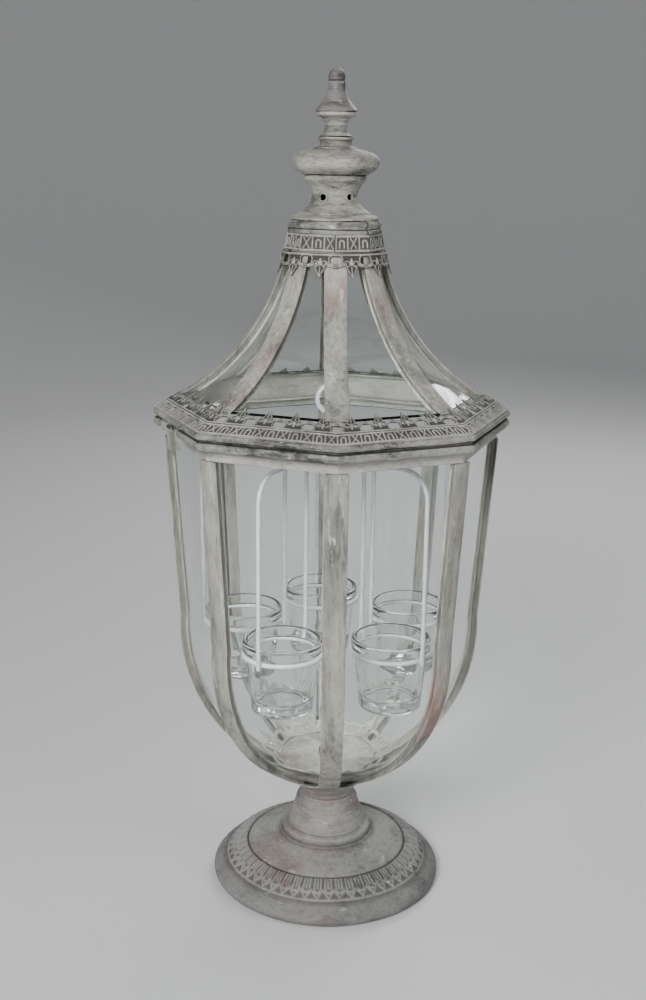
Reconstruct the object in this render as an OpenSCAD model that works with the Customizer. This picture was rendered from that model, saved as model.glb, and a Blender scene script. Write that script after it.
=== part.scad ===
// Octagonal glass candle lantern: a glazed bowl on a turned foot, a hinged glazed
// roof with a vented finial, and a lift-out wire carrier for five votive cups.
// Millimetres. +Z up, origin at the centre of the foot's underside, front is -Y.
// Octagon corner 0 faces the front; corners and faces count towards the right.

/* [Foot] */
// Outer radius of the foot's rolled rim
foot_r = 109.3; // [90:0.1:135]
// Height of the foot plate, floor to the top of its ring
foot_h = 52.5; // [44:0.5:64]
// Radius of the roll along the foot's edge
foot_roll_r = 6.7; // [5:0.1:8]
// Radius of the ring on top of the foot plate
foot_ring_r = 42.9; // [38:0.1:52]
// Radius of the groove inside the leaf band
groove_r = 76.2; // [64:0.1:84]
// Height of the bell-shaped neck piece
bell_h = 31.5; // [26:0.5:38]
// Widest radius of the bell
bell_r = 37.2; // [33:0.1:44]
// Radius of the narrow neck between bell and cup
neck_r = 25; // [20:0.1:30]
// Height of the cup under the glass bowl
cup_h = 21; // [17:0.5:26]
// Thickness of the spun sheet of foot, bell, cup and vent
spun_wall = 2; // [1.2:0.1:3]
// Radius of the clamping rod through the foot
rod_r = 4; // [3:0.1:5]

/* [Glass body] */
// Corner radius of the body at the level where it starts to curve in
bowl_r = 138.7; // [116:0.1:166]
// Radius of the bend of the body's ribs
bowl_curve_r = 163; // [136:0.5:185]
// Outward lean of the straight wall above the bend, degrees
wall_lean = 3.9; // [0:0.1:6]
// Height of the wall above the centre of the bend
wall_h = 179; // [149:0.5:215]
// Corner radius where the ribs end over the cup
bowl_end_r = 42; // [38:0.1:50]
// Height of the band round the mouth of the body
band_h = 9.4; // [7:0.1:12]
// Thickness of the window glass
glass_t = 3; // [2:0.1:4]

/* [Ribs] */
// Width of the cover strip of each rib
rib_w = 19.5; // [16:0.1:23]
// Depth of each rib from face to back
rib_depth = 9.5; // [8.5:0.1:12]
// Width of the strip on the inside of each rib
rib_inner_w = 13.5; // [11:0.1:16]
// Thickness of rib strips and sheet parts
sheet_t = 1.4; // [1:0.1:2]

/* [Roof] */
// How far the lid's rim stands out past the body, at a corner
rim_overhang = 11.2; // [9:0.1:14]
// Radius of the roll along the bottom of the lid
lower_bead_r = 3.9; // [3.4:0.1:4.4]
// Radius of the roll above it
upper_bead_r = 3; // [2.5:0.1:3.4]
// Height of the fine line between the two rolls
bead_line = 1.5; // [1:0.1:2]
// Width of the sloping apron from the rim to the roof glass, at a corner
apron_w = 27.5; // [23:0.1:33]
// Width of the raised tape along the apron's outer edge
tape_w = 11; // [9:0.1:13]
// Height of the glazed roof from apron to collar
roof_h = 125; // [104:0.5:150]
// Corner radius at the top of the roof glass
roof_top_r = 43; // [38:0.1:50]
// Radius of the hollow curve of the roof
roof_curve_r = 189; // [160:0.5:230]
// Height of the tape collar above the roof glass
collar_h = 13.7; // [11:0.1:17]
// Height of the cap above the collar
cap_h = 11.8; // [10:0.1:14]

/* [Finial] */
// Height of the vented dome
vent_h = 37; // [31:0.5:44]
// Radius of the vented dome's brim
vent_brim_r = 38.3; // [36:0.1:42]
// Radius of the vented dome's waist
vent_waist_r = 19.4; // [16:0.1:24]
// Radius of each vent hole
vent_hole_r = 2.8; // [2:0.1:3.5]
// Number of vent holes
vent_holes = 5; // [3:1:8]
// Height of the bulb
bulb_h = 31.5; // [26:0.5:38]
// Widest radius of the bulb
bulb_r = 37.7; // [31:0.1:45]
// Height of the waisted spool with its disc
spool_h = 20.2; // [17:0.1:24]
// Waist radius of the spool
spool_r = 9.2; // [7.5:0.1:11]
// Height of the cone with its knob
tip_h = 35.8; // [30:0.1:43]
// Radius of the cone's lip
tip_r = 18.2; // [15:0.1:22]
// Radius of the finial's rod
finial_rod_r = 2.5; // [2:0.1:3]

/* [Hinge] */
// Length of the hinge along its pin
hinge_len = 17; // [14:0.5:21]
// Outer radius of the knuckles
knuckle_r = 3; // [2.6:0.1:3.4]
// Radius of the hinge pin
pin_r = 1.25; // [1:0.05:1.5]
// Running clearance round the pin
pin_gap = 0.05; // [0.02:0.01:0.1]
// Depth of the lower leaf below the hinge pin
leaf_drop = 24; // [18:0.5:28]

/* [Carrier and cups] */
// Number of cups
cups = 5; // [3:1:5]
// Turn of the cups about the lantern's axis, degrees
cup_turn = 4.5; // [0:0.5:18]
// Wire diameter of the carrier
wire_d = 4; // [3:0.1:5]
// Free space between the rings of neighbouring cups
cup_spare = 21; // [16:0.5:26]
// How far a cup narrows from its collar to its foot
cup_taper = 7.5; // [6:0.1:9]
// Height of a cup
cup_tall = 65.6; // [55:0.1:78]
// Height of a cup's collar
cup_collar_h = 10.5; // [8:0.1:13]
// Wall thickness of a cup
cup_wall = 3; // [2:0.1:4]
// Thickness of a cup's floor
cup_floor = 8; // [5:0.5:10]
// How far the cups hang below the mouth of the body
cup_hang = 177.5; // [160:0.5:185]
// Height of a hoop above its ring
hoop_h = 167; // [140:0.5:175]
// Bend radius at the hoop's shoulder
hoop_bend_r = 24; // [16:0.5:28]
// Outer radius of the carry ring
carry_r = 15; // [12:0.5:18]

/* [Fits] */
// Gap between pieces of different bodies that rest on each other
rest_gap = 0.3; // [0.2:0.05:0.5]
// Gap between the glass and the metal round it
glass_gap = 0.2; // [0.1:0.05:0.5]
// Gap between the carrier's outer wires and the glass
carrier_gap = 1; // [0.6:0.1:3]
// Gap between a rod and its hole
rod_gap = 0.2; // [0.1:0.05:0.4]

/* [Hidden] */
$fn = 64;
SIDES = 8;
TURN = 360 / SIDES;
FACE = cos(TURN / 2);
STEPS = 18;
FAR = 400;

// Levels of the foot
bell_z = foot_h;
cup_z = bell_z + bell_h;
bowl_z = cup_z + cup_h;

// Curve of the body's ribs: a circle, then a leaning straight wall
bend_x = bowl_r - bowl_curve_r;
end_a = acos((bowl_end_r - bend_x) / bowl_curve_r);
bend_z = bowl_z + 1 + bowl_curve_r * sin(end_a);
wall_top_z = bend_z + wall_h;
lip_z = wall_top_z + band_h;
function wall_x(d, z) = bend_x + (bowl_curve_r - d) * cos(wall_lean)
    + (z - bend_z - (bowl_curve_r - d) * sin(wall_lean)) * tan(wall_lean);
function bend_pt(d, a) =
    [bend_x + (bowl_curve_r - d) * cos(a), bend_z + (bowl_curve_r - d) * sin(a)];
function body_path(d, top = wall_top_z, a_end = end_a) = concat(
    [[wall_x(d, top), top]],
    [for (i = [0 : STEPS]) bend_pt(d, wall_lean - (wall_lean + a_end) * i / STEPS)]);
body_top_r = wall_x(0, wall_top_z);

// Lid rim and apron
lid_z = lip_z + rest_gap;
rim_r = body_top_r + rim_overhang;
upper_bead_z = lid_z + 2 * lower_bead_r + bead_line + 2 * upper_bead_r;
lid_wall_r = rim_r - 2 * lower_bead_r - sheet_t;
apron_z = upper_bead_z + 0.6;
apron_rise = 14;
roof_r = rim_r - apron_w;
roof_z = apron_z + apron_rise;
tape_r = rim_r - 1.8;
apron_slope = apron_rise / (tape_r - roof_r);
function apron_at(r) = apron_z + (tape_r - r) * apron_slope;

// Hollow curve of the roof's ribs: a circle through the foot and the top of a rib
roof_top_z = roof_z + roof_h;
chord = [roof_top_r - roof_r, roof_h];
half_chord = norm(chord) / 2;
sag_arm = sqrt(pow(roof_curve_r, 2) - pow(half_chord, 2));
hollow_x = (roof_r + roof_top_r) / 2 + sag_arm * chord.y / norm(chord);
hollow_z = roof_z + roof_h / 2 - sag_arm * chord.x / norm(chord);
function roof_a(z, d = 0) = 180 + asin((hollow_z - z) / (roof_curve_r + d));
function roof_x(z, d = 0) = hollow_x + (roof_curve_r + d) * cos(roof_a(z, d));
function roof_path(d, z0 = roof_z, z1 = roof_top_z) =
    let (a0 = roof_a(z0, d), a1 = roof_a(z1, d))
    [for (i = [0 : STEPS]) let (a = a0 + (a1 - a0) * i / STEPS)
        [hollow_x + (roof_curve_r + d) * cos(a), hollow_z + (roof_curve_r + d) * sin(a)]];

// Levels of the cap and finial
collar_z = roof_top_z + sheet_t;
cap_z = collar_z + collar_h;
vent_z = cap_z + cap_h;
bulb_z = vent_z + vent_h;
spool_z = bulb_z + bulb_h;
tip_z = spool_z + spool_h;
top_z = tip_z + tip_h;
collar_r = roof_top_r - 0.9;
cap_r = collar_r - 1.2;

// Hinge, on the face to the left of the front
HINGE_FACE = 6;
leaf_margin = 0.6;
knuckle_len = (hinge_len - 2 * rest_gap) / 3;
band_face = body_top_r * FACE;
rib_edge_t = wall_x(0, lip_z + knuckle_r - leaf_drop) * sin(TURN / 2) - rib_w / 2 * FACE;
hinge_t = -(rib_edge_t - leaf_margin - hinge_len / 2);
hinge_x = band_face + sheet_t + knuckle_r + 1;
hinge_pin_z = lip_z + knuckle_r + 0.7;
lid_wall_face = lid_wall_r * FACE;
notch_top = lid_z + 2 * lower_bead_r + bead_line;
notch_from = hinge_t - hinge_len / 2 - 3;
notch_to = notch_from + 58;

// Carrier and cups
wire_r = wire_d / 2;
weld_lap = 0.6;
pane_depth = sheet_t + glass_gap;
inner_face = (bowl_r - pane_depth - glass_t / FACE) * FACE;
// The rings fill the bowl: neighbours keep cup_spare, outer wires keep carrier_gap
ring_room = inner_face - carrier_gap - wire_r - wire_d + weld_lap;
cup_pitch = sin(180 / cups);
cup_r = (ring_room * cup_pitch - wire_r - cup_spare / 2) / (1 + cup_pitch);
cup_circle_r = ring_room - cup_r;
cup_base_r = cup_r - cup_taper;
cup_top_z = lip_z - cup_hang;
cup_bottom_z = cup_top_z - cup_tall;
collar_low_z = cup_top_z - cup_collar_h;
ring_z = collar_low_z - rest_gap - wire_r;
ring_r = cup_r;
cup_body_r = ring_r - wire_r - 0.8;
leg_r = ring_r + wire_d - weld_lap;
hub_z = ring_z + hoop_h;
hub_r = 7;
arm_z = lip_z + 16;
arm_rise_r = 92;
arm_bend_r = 7;
arm_foot_r = body_top_r - 13;
foot_reach = 7;

// Inside of the body's bottom
floor_z = bend_pt(rib_depth, -end_a).y + 5;
floor_r = bend_x + sqrt(pow(bowl_curve_r - rib_depth, 2) - pow(bend_z - floor_z, 2)) - 3.3;

function names(base, count) = [for (i = [1 : count]) str(base, "_", i)];

stone = "#b5b2a8";
worn = "#9c9b98";
wire_white = "#d4d4dc";
steel = "#5c5a55";

// ---- Shared shapes ----

// Turns its children to octagon corner i, radius along +X
module at_corner(i) { rotate([0, 0, -90 + TURN * i]) children(); }

// Turns its children to the face between corners i and i + 1
module at_face(i) { rotate([0, 0, -90 + TURN * (i + 0.5)]) children(); }

// Stands an outline of radius and height upright and gives it a width
module upright(width) {
    rotate([90, 0, 0]) linear_extrude(height = width, center = true) children();
}

// Outline between two paths
module between(a, b) {
    polygon(concat(a, [for (i = [len(b) - 1 : -1 : 0]) b[i]]));
}

function across(path) = [for (p = path) [p.x * FACE, p.y]];

// Octagonal ring with its corners on the axes
module ring8() { rotate_extrude($fn = SIDES) children(); }

// One octagon face's share of the plan, kept back from both corner planes
module face_wedge(back, z0, z1) {
    apex = back / sin(TURN / 2);
    reach = FAR * tan(TURN / 2);
    translate([0, 0, z0]) linear_extrude(height = z1 - z0)
        polygon([[apex, 0], [apex + FAR, -reach], [apex + FAR, reach]]);
}

// Straight round wire between two points
module wire(a, b) {
    run = b - a;
    translate(a)
        rotate([0, acos(run.z / norm(run)), atan2(run.y, run.x)])
            cylinder(r = wire_r, h = norm(run), $fn = 24);
}

// Quarter bend of wire from +X (start) turned about its centre, in the XZ plane
module wire_bend(at, r, from) {
    translate(at) rotate([90, 0, 0]) rotate([0, 0, from])
        rotate_extrude(angle = 90, $fn = 48) translate([r, 0]) circle(r = wire_r, $fn = 24);
}

// ---- Foot ----

module foot_base() {
    roll_z = foot_roll_r - 0.5;
    roll_x = foot_r - foot_roll_r;
    step_x = roll_x - 8;
    ring_x = foot_ring_r - 4.4;
    color(worn) difference() {
        union() {
            rotate_extrude() polygon([
                [rod_r + rod_gap, foot_h - spun_wall], [rod_r + rod_gap, foot_h], [ring_x, foot_h],
                [ring_x + 2.6, foot_h - 0.6], [foot_ring_r - 0.4, foot_h - 2.2],
                [foot_ring_r, foot_h - 3.8], [foot_ring_r - 0.6, foot_h - 5.6],
                [foot_ring_r + 0.8, foot_h - 7.6], [foot_ring_r + 5, foot_h - 10.4],
                [(foot_ring_r + groove_r) / 2, foot_h - 15.4],
                [groove_r - 1.4, foot_h - 19.6], [groove_r, foot_h - 20.6],
                [groove_r + 1.6, foot_h - 20.2], [groove_r + 4.6, foot_h - 21.4],
                [(groove_r + step_x) / 2 + 1.6, foot_h - 25.4], [step_x - 1, foot_h - 30.8],
                [step_x, foot_h - 32.4], [step_x + 1.4, foot_h - 32.8],
                [roll_x, 2 * foot_roll_r + 1.2], [roll_x + 1.4, 2 * foot_roll_r - 0.8],
                [roll_x, roll_z], [roll_x - foot_roll_r + 1, roll_z + 1],
                [step_x - 2, foot_h - 35.8], [groove_r, foot_h - 24.6],
                [foot_ring_r + 1, foot_h - 12.6], [foot_ring_r - 4, foot_h - 5.6],
                [ring_x - 2, foot_h - spun_wall]]);
            rotate_extrude() translate([roll_x, roll_z]) circle(r = foot_roll_r, $fn = 40);
        }
        translate([0, 0, -20]) cylinder(r = foot_r + 5, h = 20);
    }
}

module foot_bell() {
    top = cup_z;
    color(worn) rotate_extrude() polygon([
        [rod_r + rod_gap, top - spun_wall], [rod_r + rod_gap, top], [neck_r + 0.4, top],
        [neck_r + 0.8, top - 2.6], [neck_r + 3, top - 4.6],
        [neck_r + 4.2, top - 5.4], [neck_r + 4.8, top - 8],
        [bell_r - 5.4, bell_z + 17.6], [bell_r - 2.2, bell_z + 9.6], [bell_r - 0.6, bell_z + 3.4],
        [bell_r, bell_z + 2.6], [bell_r + 0.4, bell_z + 1.2], [bell_r, bell_z],
        [bell_r - 3, bell_z], [bell_r - 3.2, bell_z + 3.4], [bell_r - 5, bell_z + 9.6],
        [bell_r - 8.4, bell_z + 17.6], [neck_r + 1, top - 9], [neck_r - 2, top - spun_wall]]);
}

module bowl_cup() {
    lip = bowl_end_r - 2.5;
    wide = lip - neck_r;
    color(worn) rotate_extrude() polygon([
        [rod_r + rod_gap, cup_z], [neck_r, cup_z], [neck_r + 0.2, cup_z + 2.2],
        [neck_r + 0.24 * wide, cup_z + 8], [neck_r + 0.55 * wide, cup_z + 13],
        [neck_r + 0.86 * wide, cup_z + 17], [lip, cup_z + cup_h - 1.6], [lip, cup_z + cup_h - 0.4],
        [lip - 3, cup_z + cup_h - 0.4], [neck_r + 0.5 * wide, cup_z + 15.4],
        [neck_r + 0.2 * wide, cup_z + 11], [neck_r - 3, cup_z + spun_wall],
        [rod_r + rod_gap, cup_z + spun_wall]]);
}

rod_low_z = foot_h - 18;
rod_high_z = floor_z + sheet_t + 11;
nut_h = 6;
washer_t = 1.5;

module pedestal_rod() {
    color(steel) translate([0, 0, rod_low_z]) cylinder(r = rod_r, h = rod_high_z - rod_low_z);
}

module pedestal_washer() {
    color(steel) translate([0, 0, foot_h - spun_wall - washer_t]) difference() {
        cylinder(r = 3 * rod_r, h = washer_t);
        translate([0, 0, -1]) cylinder(r = rod_r + rod_gap, h = washer_t + 2);
    }
}

module hex_nut(hole_r, size_r, h) {
    difference() {
        cylinder(r = size_r, h = h, $fn = 6);
        translate([0, 0, -1]) cylinder(r = hole_r, h = h + 2);
    }
}

module pedestal_nuts() {
    color(steel) {
        translate([0, 0, foot_h - spun_wall - washer_t - nut_h])
            hex_nut(rod_r + 0.02, 2 * rod_r, nut_h);
        translate([0, 0, floor_z + sheet_t]) hex_nut(rod_r + 0.02, 2 * rod_r, nut_h);
    }
}

// ---- Glass body ----

// Outline of a rib's layer, between two depths behind its face
module body_layer(d0, d1) { between(body_path(d0), body_path(d1)); }

module body_rib(i) {
    web = rib_inner_w * 0.58;
    color(stone) at_corner(i - 1) union() {
        upright(rib_w) body_layer(0, sheet_t);
        upright(web) body_layer(sheet_t - 0.4, rib_depth - sheet_t + 0.4);
        upright(rib_inner_w) body_layer(rib_depth - sheet_t, rib_depth);
    }
}

pane_back = rib_inner_w * 0.29 + glass_gap;

module body_pane(i) {
    a_stop = end_a - 1;
    top = wall_top_z - glass_gap;
    color("#bfd8cf", 0.35) at_face(i - 1) intersection() {
        upright(FAR) between(
            across(body_path(pane_depth, top, a_stop)),
            across(body_path(pane_depth + glass_t / FACE, top, a_stop)));
        face_wedge(pane_back, bowl_z, lip_z);
    }
}

module body_lip() {
    color(stone) ring8() polygon([
        [body_top_r - sheet_t, wall_top_z], [body_top_r, wall_top_z], [body_top_r, lip_z],
        [body_top_r - rib_depth - 4, lip_z], [body_top_r - rib_depth - 4, lip_z - sheet_t],
        [body_top_r - sheet_t, lip_z - sheet_t]]);
}

module body_floor() {
    color(stone) translate([0, 0, floor_z]) difference() {
        cylinder(r = floor_r, h = sheet_t);
        translate([0, 0, -1]) cylinder(r = rod_r + rod_gap, h = sheet_t + 2);
    }
}

// Crested strips that stand on the lowest glass, inside
module floor_crests() {
    d0 = pane_depth + glass_t / FACE + glass_gap;
    a_top = end_a - 13;
    a_low = end_a - 3;
    path_in = [for (i = [0 : 4]) bend_pt(d0 + 1.2, -a_top - (a_low - a_top) * i / 4)];
    path_out = [for (i = [0 : 4]) bend_pt(d0, -a_top - (a_low - a_top) * i / 4)];
    color(stone) for (i = [0 : SIDES - 1]) at_face(i) intersection() {
        upright(FAR) between(across(path_out), across(path_in));
        face_wedge(rib_inner_w / 2 + 1, bowl_z, bend_z);
    }
}

// ---- Hinge ----

// Knuckle barrel number i of three, with its bore
module knuckle(i) {
    from = hinge_t - hinge_len / 2 + i * (knuckle_len + rest_gap);
    translate([hinge_x, from, hinge_pin_z]) rotate([-90, 0, 0]) cylinder(r = knuckle_r, h = knuckle_len);
}

module pin_bore() {
    translate([hinge_x, hinge_t - hinge_len, hinge_pin_z]) rotate([-90, 0, 0])
        cylinder(r = pin_r + pin_gap, h = 2 * hinge_len);
}

// Flat of a leaf over one or more knuckle widths
module leaf_plate(x, from, width, z0, z1) {
    translate([x, from, z0]) cube([sheet_t, width, z1 - z0]);
}

module hinge_leaf_lower() {
    low = hinge_pin_z - leaf_drop;
    from = hinge_t - hinge_len / 2;
    color(stone) at_face(HINGE_FACE) difference() {
        union() {
            leaf_plate(band_face, from, hinge_len, low, lip_z - 0.4);
            for (i = [0, 2]) {
                knuckle(i);
                translate([band_face, from + i * (knuckle_len + rest_gap), lip_z - 2.4])
                    cube([hinge_x - band_face, knuckle_len, 2]);
                translate([hinge_x - knuckle_r, from + i * (knuckle_len + rest_gap), lip_z - 2.4])
                    cube([knuckle_r, knuckle_len, hinge_pin_z - lip_z + 2.4]);
            }
        }
        pin_bore();
    }
}

module hinge_leaf_upper() {
    from = hinge_t - hinge_len / 2 + knuckle_len + rest_gap;
    x = lid_wall_face - sheet_t;
    color(stone) at_face(HINGE_FACE) difference() {
        union() {
            knuckle(1);
            leaf_plate(x, from, knuckle_len, hinge_pin_z, apron_z - 1);
            translate([x, from, hinge_pin_z]) cube([hinge_x - x, knuckle_len, knuckle_r]);
            leaf_plate(x, hinge_t - hinge_len / 2, hinge_len, notch_top + 0.6, apron_z - 1);
        }
        pin_bore();
    }
}

module hinge_pin() {
    head = 1.2;
    color(steel) at_face(HINGE_FACE) translate([hinge_x, hinge_t - hinge_len / 2 - 0.1, hinge_pin_z])
        rotate([-90, 0, 0]) union() {
            cylinder(r = pin_r, h = hinge_len + 0.2);
            translate([0, 0, -head]) cylinder(r = pin_r + 0.8, h = head);
            translate([0, 0, hinge_len + 0.2]) cylinder(r = pin_r + 0.8, h = head);
        }
}

// ---- Lid ----

// Room for the hinge in the lid's lower edge
module hinge_notch() {
    at_face(HINGE_FACE) translate([lid_wall_face - sheet_t - 4, notch_from, lid_z - 1])
        cube([30, notch_to - notch_from, notch_top - lid_z + 1]);
}

module lid_frame() {
    wall_in = lid_wall_r;
    wall_out = wall_in + sheet_t;
    apron_in = rim_r - 14;
    spoke_w = rib_w + 2;
    color(stone) union() {
        difference() {
            ring8() polygon([
                [wall_in, lid_z], [wall_out, lid_z], [wall_out, apron_at(wall_out) - sheet_t],
                [tape_r, upper_bead_z], [tape_r, apron_at(tape_r)],
                [apron_in, apron_at(apron_in)], [apron_in, apron_at(apron_in) - sheet_t],
                [wall_in, apron_at(wall_in) - sheet_t]]);
            hinge_notch();
        }
        intersection() {
            ring8() polygon([
                [apron_in + 0.5, apron_at(apron_in + 0.5)], [roof_r, roof_z], [roof_r - 2.5, roof_z],
                [roof_r - 2.5, roof_z - sheet_t - 1], [apron_in + 0.5, apron_at(apron_in + 0.5) - sheet_t]]);
            for (i = [0 : SIDES - 1]) at_corner(i) translate([0, -spoke_w / 2, apron_z - 5])
                cube([rim_r, spoke_w, apron_rise + 10]);
        }
    }
}

module lower_bead() {
    x = rim_r - lower_bead_r;
    z = lid_z + lower_bead_r;
    color(stone) difference() {
        ring8() union() {
            translate([x, z]) circle(r = lower_bead_r, $fn = 20);
            translate([lid_wall_r + sheet_t, z - 2]) square([lower_bead_r, 4]);
        }
        hinge_notch();
    }
}

module upper_bead() {
    x = rim_r - upper_bead_r;
    z = upper_bead_z - upper_bead_r;
    color(stone) ring8() union() {
        translate([x, z]) circle(r = upper_bead_r, $fn = 20);
        translate([lid_wall_r + sheet_t, z - 2]) square([upper_bead_r + 1.4, 4]);
    }
}

tape_t = 0.8;

module rim_tape() {
    inner = tape_r - tape_w;
    color(worn) ring8() polygon([
        [tape_r, apron_at(tape_r)], [tape_r, apron_at(tape_r) + tape_t],
        [inner, apron_at(inner) + tape_t], [inner, apron_at(inner)]]);
}

// Pierced strip round the foot of the roof glass, with its crests bent up the glass
module rim_crests() {
    outer = tape_r - tape_w - 0.3;
    inner = roof_r + 1.9;
    crest_z = roof_z + 6.5;
    arches = 5;
    pitch = 2 * (roof_r + 6) * sin(TURN / 2) / arches;
    slot_r = 2.8;
    color(worn) union() {
        difference() {
            ring8() polygon([
                [outer, apron_at(outer)], [outer, apron_at(outer) + tape_t],
                [inner, apron_at(inner) + tape_t], [inner, apron_at(inner)]]);
            for (i = [0 : SIDES - 1], j = [0 : arches - 1])
                at_face(i) translate([(inner + outer) / 2 * FACE, (j - (arches - 1) / 2) * pitch, roof_z - 20]) {
                    translate([-slot_r, -3, 0]) cube([2 * slot_r, 6, 40]);
                    for (s = [-3, 3]) translate([0, s, 0]) cylinder(r = slot_r, h = 40, $fn = 24);
                }
        }
        for (i = [0 : SIDES - 1]) at_face(i) intersection() {
            upright(FAR) between(
                across(roof_path(-0.4, apron_at(inner) + 0.2, crest_z)),
                across(roof_path(-0.4 - tape_t, apron_at(inner) + 0.2, crest_z)));
            face_wedge(rib_w / 2 + 0.8, roof_z - 10, roof_z + 30);
        }
    }
}

module roof_ribs() {
    web = rib_inner_w * 0.58;
    top = roof_top_z;
    color(stone) for (i = [0 : SIDES - 1]) at_corner(i) union() {
        upright(rib_w) between(roof_path(0, roof_z, top), roof_path(sheet_t, roof_z, top));
        upright(web) between(
            roof_path(sheet_t - 0.4, roof_z + 1, top), roof_path(rib_depth - sheet_t + 0.4, roof_z + 1, top));
        upright(rib_inner_w) between(
            roof_path(rib_depth - sheet_t, roof_z + 1, top), roof_path(rib_depth, roof_z + 1, top));
    }
}

module roof_panes() {
    low = roof_z + 1.6;
    high = roof_top_z - glass_gap;
    color("#bfd8cf", 0.35) for (i = [0 : SIDES - 1]) at_face(i) intersection() {
        upright(FAR) between(
            across(roof_path(pane_depth, low, high)),
            across(roof_path(pane_depth + glass_t, low, high)));
        face_wedge(pane_back, roof_z - 20, collar_z);
    }
}

// Inner tube and flange that gather the tops of the roof's ribs
module roof_collar() {
    wall_r = roof_top_r - rib_depth - 1.2;
    color(stone) ring8() polygon([
        [wall_r, roof_top_z - 12], [wall_r, cap_z], [wall_r - sheet_t, cap_z],
        [wall_r - sheet_t, roof_top_z - 12]]);
    color(stone) ring8() polygon([
        [wall_r, roof_top_z], [collar_r, roof_top_z], [collar_r, collar_z], [wall_r, collar_z]]);
}

module collar_tape() {
    low_r = collar_r + 0.4;
    high_r = cap_r - 0.8;
    color(worn) ring8() polygon([
        [low_r, collar_z], [high_r, cap_z], [high_r - sheet_t, cap_z], [low_r - sheet_t, collar_z]]);
}

// Hanging pierced crests under the collar: a round strip, bent outside the edges of the ribs
module collar_crests() {
    drop = 16;
    units = 11;
    gap = 0.3;
    function strip_r(z, d) = norm([roof_x(z), rib_w / 2]) + gap + d;
    heights = [for (i = [0 : 4]) roof_top_z - drop * i / 4];
    inside = [for (z = heights) [strip_r(z, 0), z]];
    outside = [for (z = heights) [strip_r(z, tape_t), z]];
    color(worn) difference() {
        rotate_extrude() between(inside, outside);
        for (i = [0 : units - 1]) rotate([0, 0, 360 / units * (i + 0.5)])
            translate([roof_top_r - 12, 0, roof_top_z - drop - 1])
                rotate([0, 90, 0]) cylinder(r = 5, h = 40, $fn = 24);
    }
}

module roof_cap() {
    color(stone) difference() {
        union() {
            ring8() polygon([
                [cap_r - sheet_t, cap_z], [cap_r - 0.4, cap_z], [cap_r, cap_z + 4.2],
                [cap_r - 0.4, cap_z + 8], [cap_r - 2.2, vent_z],
                [cap_r - 3.6, vent_z], [cap_r - 2 - sheet_t, cap_z + 8]]);
            translate([0, 0, vent_z - sheet_t]) cylinder(r = cap_r * FACE - 2, h = sheet_t);
        }
        translate([0, 0, vent_z - 5]) cylinder(r = finial_rod_r + rod_gap, h = 10);
        for (i = [0 : 5]) rotate([0, 0, 60 * i]) translate([12, 0, vent_z - 5]) cylinder(r = 3.5, h = 10);
    }
}

// ---- Finial ----

module vent_dome() {
    waist_z = vent_z + 0.54 * vent_h;
    top_r = 27;
    w = spun_wall;
    color(stone) difference() {
        rotate_extrude() polygon([
            [vent_brim_r, vent_z], [vent_brim_r, vent_z + 1.8],
            [vent_brim_r - 5, vent_z + 3.6], [vent_waist_r + 7.4, vent_z + 7.6],
            [vent_waist_r + 3, vent_z + 12.6], [vent_waist_r + 0.6, waist_z - 3.6],
            [vent_waist_r, waist_z], [vent_waist_r + 0.8, waist_z + 3.4],
            [vent_waist_r + 3, waist_z + 8], [top_r - 0.4, waist_z + 12.4], [top_r, waist_z + 12.8],
            [top_r, vent_z + vent_h], [finial_rod_r + rod_gap, vent_z + vent_h],
            [finial_rod_r + rod_gap, vent_z + vent_h - w], [top_r - w - 1, vent_z + vent_h - w],
            [vent_waist_r + 3 - w, waist_z + 9], [vent_waist_r - w, waist_z + 3.4],
            [vent_waist_r - w, waist_z - 3.6], [vent_waist_r + 3 - w, vent_z + 11.8],
            [vent_brim_r - 9, vent_z + 3], [vent_brim_r - 6, vent_z]]);
        for (i = [0 : vent_holes - 1])
            rotate([0, 0, -90 - 34 + 360 / vent_holes * i]) translate([0, 0, waist_z - 1.4])
                rotate([0, 90, 0]) cylinder(r = vent_hole_r, h = vent_brim_r);
    }
}

module finial_bulb() {
    z = bulb_z;
    w = spun_wall;
    color(stone) rotate_extrude() polygon([
        [finial_rod_r + rod_gap, z], [28.2, z], [29.2, z + 0.8], [bulb_r - 6, z + 3], [bulb_r - 2.4, z + 5.4],
        [bulb_r - 0.5, z + 8], [bulb_r, z + 10.7], [bulb_r - 0.8, z + 13.2], [bulb_r - 3.5, z + 15.6],
        [bulb_r - 8, z + 17.8], [bulb_r - 12.9, z + 19.7], [18.8, z + 22.2], [14.4, z + 23.4], [13.6, z + 24.6],
        [13.6, z + 28.4], [15.3, z + 29.2], [15.3, z + bulb_h - 0.4], [14.6, z + bulb_h],
        [finial_rod_r + rod_gap, z + bulb_h], [finial_rod_r + rod_gap, z + bulb_h - w],
        [11, z + bulb_h - w], [11, z + 23], [bulb_r - 13, z + 17], [bulb_r - 5, z + 13],
        [bulb_r - 3, z + 10.7], [bulb_r - 4, z + 6.4], [26, z + w], [finial_rod_r + rod_gap, z + w]]);
}

module finial_spool() {
    z = spool_z;
    mid = z + 0.42 * spool_h;
    color(stone) rotate_extrude() polygon([
        [finial_rod_r + rod_gap, z], [14.4, z], [12.2, z + 1.6], [spool_r + 1, mid - 4.4], [spool_r, mid],
        [spool_r + 0.7, mid + 3.6], [spool_r + 3, mid + 6.8], [15.3, z + 16.6],
        [17, z + 17], [17, z + spool_h - 0.4], [16, z + spool_h], [finial_rod_r + rod_gap, z + spool_h]]);
}

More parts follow.
